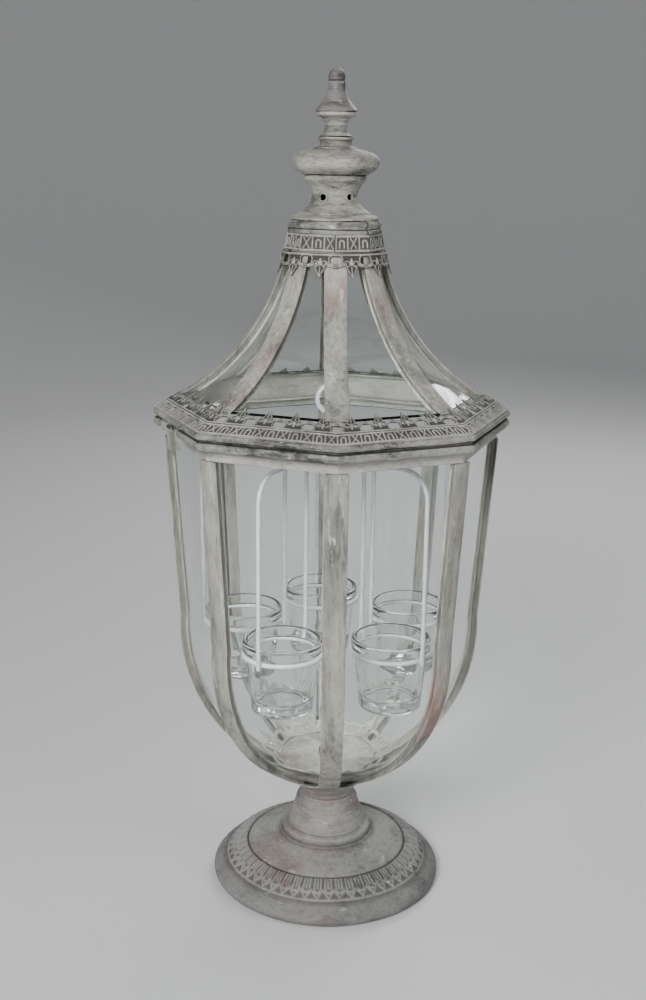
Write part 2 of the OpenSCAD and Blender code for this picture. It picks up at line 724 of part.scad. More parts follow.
module finial_tip() {
    z = tip_z;
    hole = tip_h - 16;
    color("#8b8a86") difference() {
        rotate_extrude() polygon([
            [0, z], [tip_r - 1, z], [tip_r, z + 0.6], [tip_r - 0.6, z + 1.6], [14.8, z + 5], [11.8, z + 9],
            [10.2, z + 12.3], [8.2, z + 17], [7.6, z + 19.5], [7.5, z + 23.4], [7.6, z + 24.6], [6.6, z + 25.4],
            [7.1, z + 26.6], [7.2, z + 29.4], [6.6, z + 32], [5, z + 34.4], [2.6, z + tip_h - 0.3], [0, z + tip_h]]);
        translate([0, 0, z - 1]) cylinder(r = finial_rod_r + 0.02, h = hole + 1);
    }
}

module finial_rod() {
    low = vent_z - 12;
    color(steel) translate([0, 0, low]) cylinder(r = finial_rod_r, h = tip_z + tip_h - 17 - low);
}

module finial_nut() {
    h = 4.5;
    color(steel) translate([0, 0, vent_z - sheet_t - h]) hex_nut(finial_rod_r + 0.02, 2 * finial_rod_r, h);
}

// ---- Carrier and cups ----

module at_cup(i) { rotate([0, 0, -90 + cup_turn + 360 / cups * (i - 0.5)]) children(); }

module cup_holder(i) {
    outer_x = cup_circle_r + leg_r;
    inner_x = cup_circle_r - leg_r;
    shoulder_x = outer_x - hoop_bend_r;
    color(wire_white) at_cup(i) union() {
        translate([cup_circle_r, 0, ring_z]) rotate_extrude() translate([ring_r, 0]) circle(r = wire_r, $fn = 24);
        for (x = [inner_x, outer_x])
            translate([x, 0, ring_z - wire_d]) cylinder(r = wire_r, h = 1.2 * wire_d, $fn = 24);
        wire([outer_x, 0, ring_z], [outer_x, 0, hub_z - hoop_bend_r]);
        wire([inner_x, 0, ring_z], [inner_x, 0, hub_z]);
        wire_bend([shoulder_x, 0, hub_z - hoop_bend_r], hoop_bend_r, 0);
        wire([hub_r, 0, hub_z], [shoulder_x, 0, hub_z]);
    }
}

module carrier_hub() {
    post_top = hub_z + 33;
    color(wire_white) union() {
        translate([0, 0, hub_z - wire_d]) cylinder(r = hub_r, h = 3.2 * wire_d);
        wire([0, 0, hub_z], [0, 0, post_top]);
        translate([0, 0, post_top + carry_r - wire_r]) rotate([90, 0, 0])
            rotate_extrude() translate([carry_r - wire_r, 0]) circle(r = wire_r, $fn = 24);
        for (side = [0, 180]) rotate([0, 0, side]) carrier_arm();
    }
}

// Arm from the hub, up past the mouth of the body and down on its lip
module carrier_arm() {
    b = arm_bend_r;
    z0 = hub_z + wire_d;
    foot_z = lip_z + rest_gap + wire_r;
    wire([0, 0, z0], [arm_rise_r - b, 0, z0]);
    wire_bend([arm_rise_r - b, 0, z0 + b], b, -90);
    wire([arm_rise_r, 0, z0 + b], [arm_rise_r, 0, arm_z - b]);
    wire_bend([arm_rise_r + b, 0, arm_z - b], b, 90);
    wire([arm_rise_r + b, 0, arm_z], [arm_foot_r, 0, arm_z]);
    wire([arm_foot_r, 0, foot_z - wire_r], [arm_foot_r, 0, arm_z + wire_r]);
    wire([arm_foot_r, 0, foot_z], [arm_foot_r + foot_reach, 0, foot_z]);
}

module votive_cup(i) {
    z = cup_bottom_z;
    collar = collar_low_z;
    color("#e6f2ee", 0.35) at_cup(i) translate([cup_circle_r, 0, 0]) rotate_extrude() polygon([
        [0, z], [cup_base_r - 2, z], [cup_base_r - 0.4, z + 0.6], [cup_base_r, z + 2.4],
        [cup_body_r, collar - 1.6], [cup_body_r, collar], [cup_r - 0.6, collar], [cup_r, collar + 1],
        [cup_r, cup_top_z - 1.6], [cup_r - 0.8, cup_top_z - 0.3], [cup_r - 2, cup_top_z],
        [cup_r - cup_wall - 0.8, cup_top_z - 0.8], [cup_r - cup_wall - 1.2, cup_top_z - 3],
        [cup_body_r - cup_wall, collar], [cup_base_r - cup_wall + 0.4, z + cup_floor + 5],
        [cup_base_r - cup_wall - 2.4, z + cup_floor + 0.8], [cup_base_r - cup_wall - 5, z + cup_floor],
        [0, z + cup_floor]]);
}

foot_base();
foot_bell();
bowl_cup();
pedestal_rod();
pedestal_washer();
pedestal_nuts();
body_floor();
floor_crests();
for (i = [1 : SIDES]) {
    body_rib(i);
    body_pane(i);
}
body_lip();
hinge_leaf_lower();
hinge_pin();
hinge_leaf_upper();
lid_frame();
lower_bead();
upper_bead();
rim_tape();
rim_crests();
roof_ribs();
roof_panes();
roof_collar();
collar_tape();
collar_crests();
roof_cap();
vent_dome();
finial_bulb();
finial_spool();
finial_tip();
finial_rod();
finial_nut();
carrier_hub();
for (i = [1 : cups]) {
    cup_holder(i);
    votive_cup(i);
}
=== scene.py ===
# %% [markdown]
# # A glazed candle lantern
# The lantern is an octagonal glass bowl on a turned foot, under a hinged glass roof with a vented finial.
# Inside hangs a wire carrier with pressed-glass cups. The CAD frame holds every size and joint. This file
# gives it its surfaces: soft-edged metal, stamped strips, wavy window glass and rubbed paint. Everything
# here is in metres, and every new piece is a surface worked out with numpy.

# %% Load the frame and the tools
import math
import bpy
import numpy as np
from mathutils import Matrix, Vector


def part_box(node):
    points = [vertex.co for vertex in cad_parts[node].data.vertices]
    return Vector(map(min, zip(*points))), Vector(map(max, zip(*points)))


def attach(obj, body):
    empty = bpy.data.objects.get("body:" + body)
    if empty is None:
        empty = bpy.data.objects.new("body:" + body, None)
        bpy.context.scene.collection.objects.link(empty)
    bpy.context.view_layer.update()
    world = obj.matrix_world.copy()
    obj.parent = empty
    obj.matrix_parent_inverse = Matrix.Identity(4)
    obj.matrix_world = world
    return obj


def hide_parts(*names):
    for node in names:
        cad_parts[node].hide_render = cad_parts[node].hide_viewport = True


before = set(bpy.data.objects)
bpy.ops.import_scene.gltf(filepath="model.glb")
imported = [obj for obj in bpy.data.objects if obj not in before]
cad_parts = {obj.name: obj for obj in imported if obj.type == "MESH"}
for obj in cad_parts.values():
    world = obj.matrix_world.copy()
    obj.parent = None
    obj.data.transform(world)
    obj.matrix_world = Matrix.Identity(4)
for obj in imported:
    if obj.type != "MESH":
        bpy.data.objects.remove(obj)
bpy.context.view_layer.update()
MM = 0.001
SIDES = 8
TURN = 2 * math.pi / SIDES
FACE = math.cos(TURN / 2)

# %% [markdown]
# The camera stands a little over a metre away, at the height of the finial's foot, and looks down by about
# fifteen degrees. It is turned a little to the left of the front rib, and held slightly out of level.

# %% Camera
CAM_BACK, CAM_HIGH = 1.1421, 0.6763
CAM_AROUND, CAM_DOWN = math.radians(1.8), math.radians(14.84)
CAM_ROLL, CAM_YAW = math.radians(0.73), math.radians(0.36)
CAM_LENS, CAM_SENSOR = 46.49, 36


def unit(v):
    """A vector scaled to length 1."""
    v = np.asarray(v, float)
    return v / np.linalg.norm(v)


def aim_camera():
    """Places the camera: its axes are built from the angle round, the tilt down and the roll."""
    turn, level_share = CAM_AROUND - CAM_YAW, math.cos(CAM_DOWN)
    forward = np.array([math.sin(turn) * level_share, math.cos(turn) * level_share, -math.sin(CAM_DOWN)])
    level = unit(np.cross(forward, [0, 0, 1]))
    up = np.cross(level, forward)
    right = level * math.cos(CAM_ROLL) + up * math.sin(CAM_ROLL)
    up = np.cross(right, forward)
    data = bpy.data.cameras.new("camera")
    data.sensor_width = CAM_SENSOR
    data.lens = CAM_LENS
    camera = bpy.data.objects.new("camera", data)
    place = (-CAM_BACK * math.sin(CAM_AROUND), -CAM_BACK * math.cos(CAM_AROUND), CAM_HIGH)
    rows = [[*axis, at] for axis, at in zip(np.array([right, up, -forward]).T, place)]
    camera.matrix_world = Matrix([*rows, [0, 0, 0, 1]])
    bpy.context.scene.collection.objects.link(camera)
    bpy.context.scene.camera = camera


aim_camera()

# %% [markdown]
# Light: a bright panel high on the left of the front, a weak one on the right, a third behind, and an even
# pale room. Lamps with small faces would leave hard sparks on the glass. Large panels give it long calm
# reflections, and the even room keeps the inside of the lantern readable.

# %% Room and light
ROOM_GREY, ROOM_STRENGTH = (0.80, 0.81, 0.82, 1), 0.27
FLOOR_GREY = (0.66, 0.665, 0.67, 1)
FLAT_R, BEND_R, ROOM_HIGH, BELOW_FOOT = 2.4, 2.2, 4.2, 0.0005


def area_light(name, at, look, size, power):
    """A square panel of the given size that faces the point look."""
    data = bpy.data.lights.new(name, "AREA")
    data.shape = "RECTANGLE"
    data.size, data.size_y = size
    data.energy = power
    lamp = bpy.data.objects.new(name, data)
    lamp.location = at
    lamp.rotation_euler = (Vector(look) - Vector(at)).to_track_quat("-Z", "Y").to_euler()
    bpy.context.scene.collection.objects.link(lamp)


def backdrop():
    """One sheet of points (r cos a, r sin a, z), flat out to FLAT_R and then curving up to a wall."""
    bend = np.radians(np.linspace(0, 90, 14))
    r = np.concatenate([[0.0, 0.4, 1.0, 1.7], FLAT_R + BEND_R * np.sin(bend), [FLAT_R + BEND_R]])
    z = np.concatenate([np.zeros(4), BEND_R - BEND_R * np.cos(bend), [ROOM_HIGH]]) - BELOW_FOOT
    a = np.linspace(0, 2 * math.pi, 72)
    flat = r[None, :, None] * np.stack([np.cos(a), np.sin(a)], -1)[:, None]
    points = np.concatenate([flat, np.broadcast_to(z[None, :, None], flat.shape[:2] + (1,))], -1)
    rows, columns = len(a), len(r)
    corner = (np.arange(rows - 1)[:, None] * columns + np.arange(columns - 1)).reshape(-1)
    faces = np.stack([corner, corner + 1, corner + columns + 1, corner + columns], -1)
    mesh = bpy.data.meshes.new("backdrop")
    mesh.from_pydata(points.reshape(-1, 3).tolist(), [], faces.tolist())
    mesh.shade_smooth()
    paint = bpy.data.materials.new("backdrop_paint")
    paint.use_nodes = True
    sockets = paint.node_tree.nodes["Principled BSDF"].inputs
    sockets["Base Color"].default_value = FLOOR_GREY
    sockets["Roughness"].default_value = 0.65
    mesh.materials.append(paint)
    sheet = bpy.data.objects.new("backdrop", mesh)
    bpy.context.scene.collection.objects.link(sheet)


def room():
    """Pale world, backdrop and panels. A panel has a place, a point it faces, a size and its watts."""
    world = bpy.data.worlds.new("room")
    world.use_nodes = True
    sockets = world.node_tree.nodes["Background"].inputs
    sockets["Color"].default_value = ROOM_GREY
    sockets["Strength"].default_value = ROOM_STRENGTH
    bpy.context.scene.world = world
    area_light("key_panel", (-0.75, -1.75, 1.35), (0, 0, 0.42), (0.6, 0.8), 52)
    area_light("fill_panel", (1.7, -0.9, 0.8), (0, 0, 0.35), (0.6, 1.3), 8)
    area_light("back_panel", (0.8, 1.8, 1.6), (0, 0, 0.4), (1.4, 1.0), 26)
    backdrop()


room()
print("light: 3 panels and a room of strength", ROOM_STRENGTH)

# %% [markdown]
# Materials could be wired by hand, node by node, but a reader would lose the formula in the wiring. Here
# they are written as sums. A small class wraps a socket of a shader tree, so that `1 - mask * 0.5` adds the
# Math nodes for us. One method adds every other kind of node.

# %% Shader expressions
class Val:
    """A socket of a Tree. Arithmetic on it adds Math nodes and gives a new Val."""

    def __init__(self, tree, socket):
        self.tree, self.socket = tree, socket

    def _math(self, operation, a, b):
        return self.tree.node("Math", {"operation": operation}, {0: a, 1: b})

    def __add__(self, other):
        return self._math("ADD", self, other)

    def __radd__(self, other):
        return self._math("ADD", other, self)

    def __sub__(self, other):
        return self._math("SUBTRACT", self, other)

    def __rsub__(self, other):
        return self._math("SUBTRACT", other, self)

    def __mul__(self, other):
        return self._math("MULTIPLY", self, other)

    def __rmul__(self, other):
        return self._math("MULTIPLY", other, self)

    def between(self, low, high):
        """0 below low, 1 above high, smooth in between."""
        settings = {"interpolation_type": "SMOOTHSTEP"}
        return self.tree.node("MapRange", settings, {"Value": self, "From Min": low, "From Max": high})


class Tree:
    """A new material and its nodes."""

    def __init__(self, name):
        self.material = bpy.data.materials.new(name)
        self.material.use_nodes = True
        self.nodes = self.material.node_tree.nodes
        self.links = self.material.node_tree.links
        self.nodes.clear()
        self.coords = self.node("TexCoord", {}, {}, out="Object")

    def node(self, kind, settings, sockets, out=0):
        """Adds a node: its settings first, then the values or links of its sockets."""
        made = self.nodes.new("ShaderNode" + kind)
        for key, value in settings.items():
            setattr(made, key, value)
        for key, value in sockets.items():
            if isinstance(value, Val):
                self.links.new(value.socket, made.inputs[key])
            else:
                made.inputs[key].default_value = value
        return Val(self, made.outputs[out])

    def mix(self, a, b, amount):
        """Colour a where amount is 0, colour b where it is 1."""
        return self.node("Mix", {"data_type": "RGBA"}, {0: amount, 6: a, 7: b}, out=2)

    def noise(self, scale, detail=4.0, roughness=0.6, stretch=(1, 1, 1), shift=(0, 0, 0)):
        """Noise on object coordinates, in features per metre, stretched along an axis."""
        at = self.node("Mapping", {}, {"Vector": self.coords, "Scale": stretch, "Location": shift})
        sockets = {"Vector": at, "Scale": scale, "Detail": detail, "Roughness": roughness}
        return self.node("TexNoise", {}, sockets)

    def attribute(self, name):
        """A number stored on each vertex of the piece, or 0 where the piece has none."""
        return self.node("Attribute", {"attribute_name": name}, {}, out="Fac")

    def finish(self, shader):
        """Joins the last shader to the output and gives the material."""
        output = self.nodes.new("ShaderNodeOutputMaterial")
        self.links.new(shader.socket, output.inputs["Surface"])
        return self.material


# %% [markdown]
# The paint is a chalky stone grey, brushed over dark metal and rubbed back. Four things make it: slow
# blotches, a fine brushed grain, painted shade that darkens every recess, and pale chips on the raised parts.
# Where a rib has been handled, a faint pink primer shows. The painted shade comes from a number stored on
# each vertex, so it follows the shape. An image of paint would be simpler, but it would blur up close and
# could not find the recesses.

# %% Rubbed paint and painted shade
def solid(colour, share=1.0):
    """A colour of red, green and blue, darkened to a share of itself, with its alpha."""
    return tuple(share * part for part in colour) + (1,)


PRIMER = (0.30, 0.16, 0.13, 1)


def rubbed_paint_and_shade(name, pale, deep, chip, grain=(1, 1, 1), blush=0.0, wear=0.5, depth=0.00035, rough=0.72):
    """Chalky paint: pale with deep patches and chips, and painted shade that darkens the recesses."""
    tree = Tree(name)
    pale, deep, chip, darkest = solid(pale), solid(deep), solid(chip), solid(deep, 0.22)
    shade_and_wear = tree.attribute("shade_and_wear")
    cloud = tree.noise(13, 4, 0.55)
    brushed = tree.noise(52, 5, 0.68, grain)
    fine = tree.noise(210, 4, 0.7, tuple(1.6 * g for g in grain), (0.3, 0.1, 0.7))
    speckle = tree.noise(560, 3, 0.7)
    dark = cloud.between(0.42, 0.66) * 0.40 + brushed.between(0.43, 0.66) * 0.60
    dark = dark + fine.between(0.45, 0.66) * 0.42
    colour = tree.mix(pale, deep, dark * wear)
    colour = tree.mix(colour, deep, speckle.between(0.56, 0.72) * 0.5)
    if blush:
        warm = tree.noise(8, 3, 0.5, shift=(3.1, 1.7, 0.4)).between(0.55, 0.7) * brushed.between(0.35, 0.6)
        colour = tree.mix(colour, PRIMER, warm * blush)
    chips = tree.noise(120, 5, 0.78, grain, (0.9, 0.2, 0.5)).between(0.60, 0.66)
    colour = tree.mix(colour, chip, chips * 0.75)
    # Painted shade: the colour goes almost black where the stored number marks a recess or a crease. The same
    # number also darkens the handled tip of the finial and the ends of the lapped tape and cap.
    shade_and_wear_mask = shade_and_wear.between(0.12, 0.85)
    colour = tree.mix(colour, darkest, shade_and_wear_mask * 0.92)
    height = brushed * 0.35 + speckle * 0.25 + fine * 0.4 + chips * 0.25
    bump = tree.node("Bump", {}, {"Height": height, "Strength": 0.7, "Distance": depth})
    roughness = rough - 0.12 * chips + 0.25 * (cloud - 0.5) + 0.12 * shade_and_wear_mask
    shader = tree.node("BsdfPrincipled", {}, {
        "Base Color": colour, "Roughness": roughness, "Normal": bump, "Specular IOR Level": 0.4})
    return tree.finish(shader)


UPRIGHT, LATHED, ROLLED, STAMPED = (1, 1, 0.16), (0.5, 0.5, 2.0), (0.6, 0.6, 1.7), (0.6, 0.6, 1.5)
WARM_GREY = (0.40, 0.39, 0.345)
STONE = rubbed_paint_and_shade("stone_paint", WARM_GREY, (0.085, 0.083, 0.075), (0.62, 0.61, 0.56), UPRIGHT,
                     blush=0.6, wear=0.8)
SPUN = rubbed_paint_and_shade("spun_paint", WARM_GREY, (0.055, 0.054, 0.05), (0.56, 0.55, 0.50), LATHED,
                    wear=0.85, rough=0.6)
ROLL = rubbed_paint_and_shade("roll_paint", (0.31, 0.305, 0.275), (0.045, 0.043, 0.04), (0.60, 0.59, 0.55), ROLLED,
                    wear=1.0, rough=0.6)
MOUTH = rubbed_paint_and_shade("mouth_paint", (0.46, 0.45, 0.405), (0.12, 0.117, 0.107), (0.62, 0.61, 0.57), ROLLED,
                     wear=0.6)
FOOT = rubbed_paint_and_shade("foot_paint", (0.285, 0.285, 0.272), (0.07, 0.07, 0.068), (0.44, 0.44, 0.41), STAMPED,
                    blush=0.3, wear=0.66)
CREST = rubbed_paint_and_shade("crest_paint", (0.45, 0.44, 0.395), (0.10, 0.097, 0.088), (0.64, 0.63, 0.59), wear=0.55)
KNOB = rubbed_paint_and_shade("knob_paint", (0.22, 0.21, 0.20), (0.035, 0.03, 0.028), (0.46, 0.45, 0.42), LATHED,
                    blush=0.5, wear=0.8, rough=0.5)
WIRE = rubbed_paint_and_shade("wire_paint", (0.50, 0.50, 0.545), (0.24, 0.24, 0.265), (0.66, 0.66, 0.69), wear=0.45,
                    depth=0.00015, rough=0.45)
print("paints: 8 mixtures of one recipe")


def dark_steel():
    """Dull dark steel for the rods and nuts."""
    tree = Tree("dark_steel")
    stain = tree.noise(60, 5, 0.6)
    colour = tree.mix((0.10, 0.095, 0.09, 1), (0.22, 0.19, 0.16, 1), stain.between(0.4, 0.7))
    bump = tree.node("Bump", {}, {"Height": tree.noise(400, 3), "Strength": 0.4, "Distance": 0.0002})
    shader = tree.node("BsdfPrincipled", {}, {
        "Base Color": colour, "Metallic": 0.9, "Roughness": 0.35 + 0.3 * stain, "Normal": bump})
    return tree.finish(shader)


STEEL = dark_steel()

# %% [markdown]
# Glass: real window glass bends light very little, and what the eye reads is its reflections, a green edge
# and a slow waviness. Each pane is a closed slab with real glass on it. Rays from lamps pass straight
# through, so that the inside stays as bright as the room.

# %% Glass
def clear_glass(name, tint, wave_scale, wave_depth, rough=0.0, ior=1.5):
    """Glass with a slow waviness, which lets the light of lamps through."""
    tree = Tree(name)
    wave = tree.noise(wave_scale, 2, 0.5)
    bump = tree.node("Bump", {}, {"Height": wave, "Strength": 1.0, "Distance": wave_depth})
    glass = tree.node("BsdfPrincipled", {}, {
        "Base Color": solid(tint), "Transmission Weight": 1.0, "Roughness": rough, "IOR": ior,
        "Normal": bump})
    open_way = tree.node("BsdfTransparent", {}, {"Color": solid(math.sqrt(t) for t in tint)})
    lamp_ray = tree.node("LightPath", {}, {}, out="Is Shadow Ray")
    return tree.finish(tree.node("MixShader", {}, {0: lamp_ray, 1: glass, 2: open_way}))


PANE = clear_glass("window_glass", (0.955, 0.985, 0.97), 16, 0.00025, ior=1.46)
PANE_EDGE = clear_glass("window_glass_edge", (0.35, 0.66, 0.55), 120, 0.0004, rough=0.12)
CUP = clear_glass("cup_glass", (0.965, 0.985, 0.98), 45, 0.0006, ior=1.48)
print("glass: pane, cut edge and cup")

# %% [markdown]
# Every new piece is a sheet of points: a row for each step along one direction, a column for each step
# along the other. One function turns such an array into a mesh of four-sided faces, closes it on itself
# where asked, and stores a number on each vertex when the paint needs one. Edges sharper than a set angle
# stay crisp. Modelling by hand could make the same shapes, but a formula can be read and changed.

# %% From arrays to meshes
CRISP = math.radians(38)


def quads(rows, columns, wrap_rows=False, wrap_columns=False):
    """Corner numbers of the faces between neighbouring points of a rows by columns grid."""
    r = np.arange(rows if wrap_rows else rows - 1)
    c = np.arange(columns if wrap_columns else columns - 1)
    r, c = np.meshgrid(r, c, indexing="ij")
    r1, c1 = (r + 1) % rows, (c + 1) % columns
    corners = [r * columns + c, r * columns + c1, r1 * columns + c1, r1 * columns + c]
    return np.stack(corners, -1).reshape(-1, 4)


def bar_faces(rows, columns, flip=False):
    """Faces and the two end caps of a closed outline carried along an open path. flip turns them all over."""
    faces, first = quads(rows, columns, False, True), np.arange(columns)
    caps = first[::-1], first + (rows - 1) * columns
    return (faces[:, ::-1], [cap[::-1] for cap in caps]) if flip else (faces, caps)


def volume(points, faces):
    """Volume inside four-sided faces, below 0 if they point inwards: a sum of pyramids to the origin."""
    a, b, c, d = (points[faces[:, k]] for k in range(4))
    return (a * (np.cross(b, c) + np.cross(c, d))).sum() / 6


def make_piece(name, points, faces, materials, shade_and_wear=None, face_slots=None, caps=()):
    """A mesh object from points (n, 3), four-sided faces (m, 4) and the corner lists of any caps.

    A shell without caps is turned over if its volume says that it is inside out.
    """
    if volume(points, faces) < 0 and not len(caps):
        faces = faces[:, ::-1]
    mesh = bpy.data.meshes.new(name)
    loops = [faces.reshape(-1), *[np.asarray(cap) for cap in caps]]
    sizes = np.concatenate([np.full(len(faces), 4), [len(cap) for cap in caps]]).astype(int)
    mesh.vertices.add(len(points))
    mesh.vertices.foreach_set("co", np.asarray(points, np.float32).reshape(-1))
    mesh.loops.add(int(sizes.sum()))
    mesh.loops.foreach_set("vertex_index", np.concatenate(loops).astype(np.int32))
    mesh.polygons.add(len(sizes))
    mesh.polygons.foreach_set("loop_start", (np.cumsum(sizes) - sizes).astype(np.int32))
    mesh.polygons.foreach_set("loop_total", sizes.astype(np.int32))
    mesh.update(calc_edges=True)
    mesh.validate()
    mesh.shade_smooth()
    mesh.set_sharp_from_angle(angle=CRISP)
    for material in materials:
        mesh.materials.append(material)
    if face_slots is not None:
        mesh.polygons.foreach_set("material_index", np.asarray(face_slots, np.int32))
    if shade_and_wear is not None:
        store = mesh.attributes.new("shade_and_wear", "FLOAT", "POINT")
        store.data.foreach_set("value", np.clip(np.asarray(shade_and_wear, np.float32).reshape(-1), 0, 1))
    piece = bpy.data.objects.new(name, mesh)
    bpy.context.scene.collection.objects.link(piece)
    return piece


def settle(piece, body, slot, *nodes):
    """Rides the piece on its body and stands it in for CAD nodes. slot is not used."""
    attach(piece, body)
    if nodes:
        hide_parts(*nodes)
    return piece


def join_grids(grids):
    """Several (points, faces, recess) sets as one set, the corner numbers of each shifted past the last."""
    points, faces, deep = zip(*grids)
    starts = np.cumsum([0, *map(len, points[:-1])])
    shifted = [part + start for part, start in zip(faces, starts)]
    return np.concatenate(points), np.concatenate(shifted), np.concatenate(deep)


def wobble(points, size, per_metre, seed):
    """A small smooth shift of points, as hand-worked sheet has: a sum of slow sine waves along x, y and z."""
    rng = np.random.default_rng(seed)
    shift = np.zeros_like(points)
    for octave in (1.0, 2.1, 4.3):
        wave = rng.normal(size=(3, 3)) * per_metre * octave
        phase = rng.uniform(0, 2 * math.pi, 3)
        shift += np.sin(points @ wave + phase) / octave
    return points + size * shift / 1.5


def soft_outline(corners, radius, steps=4):
    """A line through corners, each inner corner rounded by an arc.

    The arc starts and ends at the distance radius from the corner, or nearer on a short side. It is a
    rational quadratic curve: the corner counts with the cosine of half the turn, which makes a true circle.
    """
    corners = np.asarray(corners, float)
    before, at, after = corners[:-2], corners[1:-1], corners[2:]
    d0, d1 = before - at, after - at
    l0, l1 = np.linalg.norm(d0, axis=1), np.linalg.norm(d1, axis=1)
    cut = np.minimum(radius, 0.48 * np.minimum(l0, l1))
    start, stop = at + d0 * (cut / l0)[:, None], at + d1 * (cut / l1)[:, None]
    turn = np.clip(-(d0 * d1).sum(1) / (l0 * l1), -1, 1)
    pull = np.sqrt((1 + turn) / 2)[:, None, None]
    t = np.linspace(0, 1, steps)[None, :, None]
    bends = (1 - t) ** 2 * start[:, None] + 2 * pull * t * (1 - t) * at[:, None] + t ** 2 * stop[:, None]
    bends = bends / ((1 - t) ** 2 + 2 * pull * t * (1 - t) + t ** 2)
    return np.concatenate([corners[:1], bends.reshape(-1, 2), corners[-1:]])


def denser(line, step):
    """The same line with points added, so that no two neighbours are more than step apart."""
    gaps = np.linalg.norm(np.diff(line, axis=0), axis=1)
    counts = np.maximum(1, np.ceil(gaps / step)).astype(int)
    starts = np.repeat(np.arange(len(gaps)), counts)
    part = np.concatenate([np.arange(c) / c for c in counts])
    inner = line[starts] + part[:, None] * (line[starts + 1] - line[starts])
    return np.concatenate([inner, line[-1:]])


def clockwise(outline):
    """The outline in the order that makes its faces point outwards: over the top, from inside to outside."""
    x, y = outline[:, 0], outline[:, 1]
    area = (x * np.roll(y, -1) - np.roll(x, -1) * y).sum()
    return outline[::-1] if area > 0 else outline


# %% [markdown]
# The turned pieces, foot, bell, cup, dome and finial, were spun or turned on a lathe, so each one is an
# outline of radius and height carried round the axis. The outline has few corners, and rounding them gives
# the soft edges that thick paint leaves. Hollows between mouldings get painted shade: the shade number grows
# where the outline curves inwards. A Screw modifier would turn the outline too, but then the leaves and the
# painted shade could not be worked out point by point.

# %% Turned pieces
def hollow_shade(outline, reach=1.3 * MM, step=3):
    """How deep each outline point lies behind the chord between its neighbours some steps away: its painted
    shade, 0 to 1.
    """
    before, after = np.roll(outline, step, 0), np.roll(outline, -step, 0)
    chord = after - before
    away = outline - (before + after) / 2
    side = (chord[:, 1] * away[:, 0] - chord[:, 0] * away[:, 1]) / (np.linalg.norm(chord, axis=1) + 1e-9)
    side[:step] = side[-step:] = 0
    return np.clip(side / reach, 0, 1)


def ridge(distance, width):
    """1 on a line, falling smoothly to 0 at the given distance from it."""
    return np.clip(1 - (distance / width) ** 2, 0, 1) ** 2


def crease_shade(z, creases):
    """Painted shade close to the heights, in mm, where one moulding meets the next."""
    return sum((0.85 * ridge(z / MM - c, 0.75) for c in creases), 0 * z)


def spin(corners, soft=1.2, around=160, lift=None, step=4.0, arc=4, seed=1, shake=0.25 * MM, creases=()):
    """Points, faces and painted shade of a surface of revolution; corners is its closed outline in mm.

    A point is (r cos a, r sin a, z) for each outline point (r, z) and angle a. lift(r, z, a) gives the moved
    r and z and the painted shade and the wear to add. No point goes below the floor.
    """
    outline = clockwise(denser(soft_outline(corners, soft, arc), step)) * MM
    a = np.linspace(0, 2 * math.pi, around, endpoint=False)
    r, z, a = np.broadcast_arrays(outline[:, 0][None, :], outline[:, 1][None, :], a[:, None])
    deep = np.tile(hollow_shade(outline) + crease_shade(outline[:, 1], creases), (around, 1))
    if lift is not None:
        r, z, extra = lift(r, z, a)
        deep = 0.6 * deep + extra
    points = wobble(np.stack([r * np.cos(a), r * np.sin(a), z], -1).reshape(-1, 3), shake, 60, seed)
    points[:, 2] = np.maximum(points[:, 2], 0)
    return points, quads(around, len(outline), True, True), deep.reshape(-1)


def turned(name, corners, body, slot, material, nodes, **how):
    """A turned piece, settled in its place."""
    points, faces, deep = spin(corners, **how)
    return settle(make_piece(name, points, faces, [material], deep), body, slot, *nodes)


def above(base, *corners):
    """Outline corners in mm, given as a radius and a height over the base."""
    return [(r, base + h) for r, h in corners]


def top_of(node):
    """Height of a CAD node's highest point, in mm."""
    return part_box(node)[1][2] / MM


def reach_of(node):
    """Largest x of a CAD node, in mm: its radius, where it is round the axis."""
    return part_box(node)[1][0] / MM


FOOT_R, FOOT_H = reach_of("foot_base"), top_of("foot_base")
BELL_H, CUP_H = top_of("foot_bell"), top_of("bowl_cup")
HOLE = 4.3
print("foot:", round(2 * FOOT_R, 1), "mm across, three turned pieces")

# %% [markdown]
# The foot's slope carries a stamped band of pointed leaves: a round-ended tongue in the middle of each, a
# raised loop round it, and a zigzag outside that joins the tips. The height of the metal at any place is a
# formula in two numbers, u across one leaf and v from the groove to the tip. Stamped metal could be left to
# a bump, but its tips catch the light at the edge of the foot.

# %% The leaf band
LEAVES = 54
LEAF_IN, LEAF_OUT = 77.6 * MM, 95.4 * MM
LEAF_RISE = 1.4 * MM
GROOVE_R, CREASE_R = 76.4 * MM, 97.4 * MM


def leaf_height(u, v):
    """Height of the band, 0 to 1: tongue, loop and zigzag. u runs from -0.5 to 0.5, v from 0 to 1."""
    along = np.clip(v, 0.06, 0.50)
    tongue = ridge(np.hypot(u, (v - along) * 1.5), 0.13)
    along = np.clip(v, 0.0, 0.50)
    loop = ridge(np.abs(np.hypot(u, (v - along) * 1.35) - 0.30), 0.11)
    zigzag = ridge(np.abs(v - (0.93 - 0.66 * np.abs(u))) * 0.9, 0.10)
    return np.maximum.reduce([tongue * 0.9, loop, zigzag])


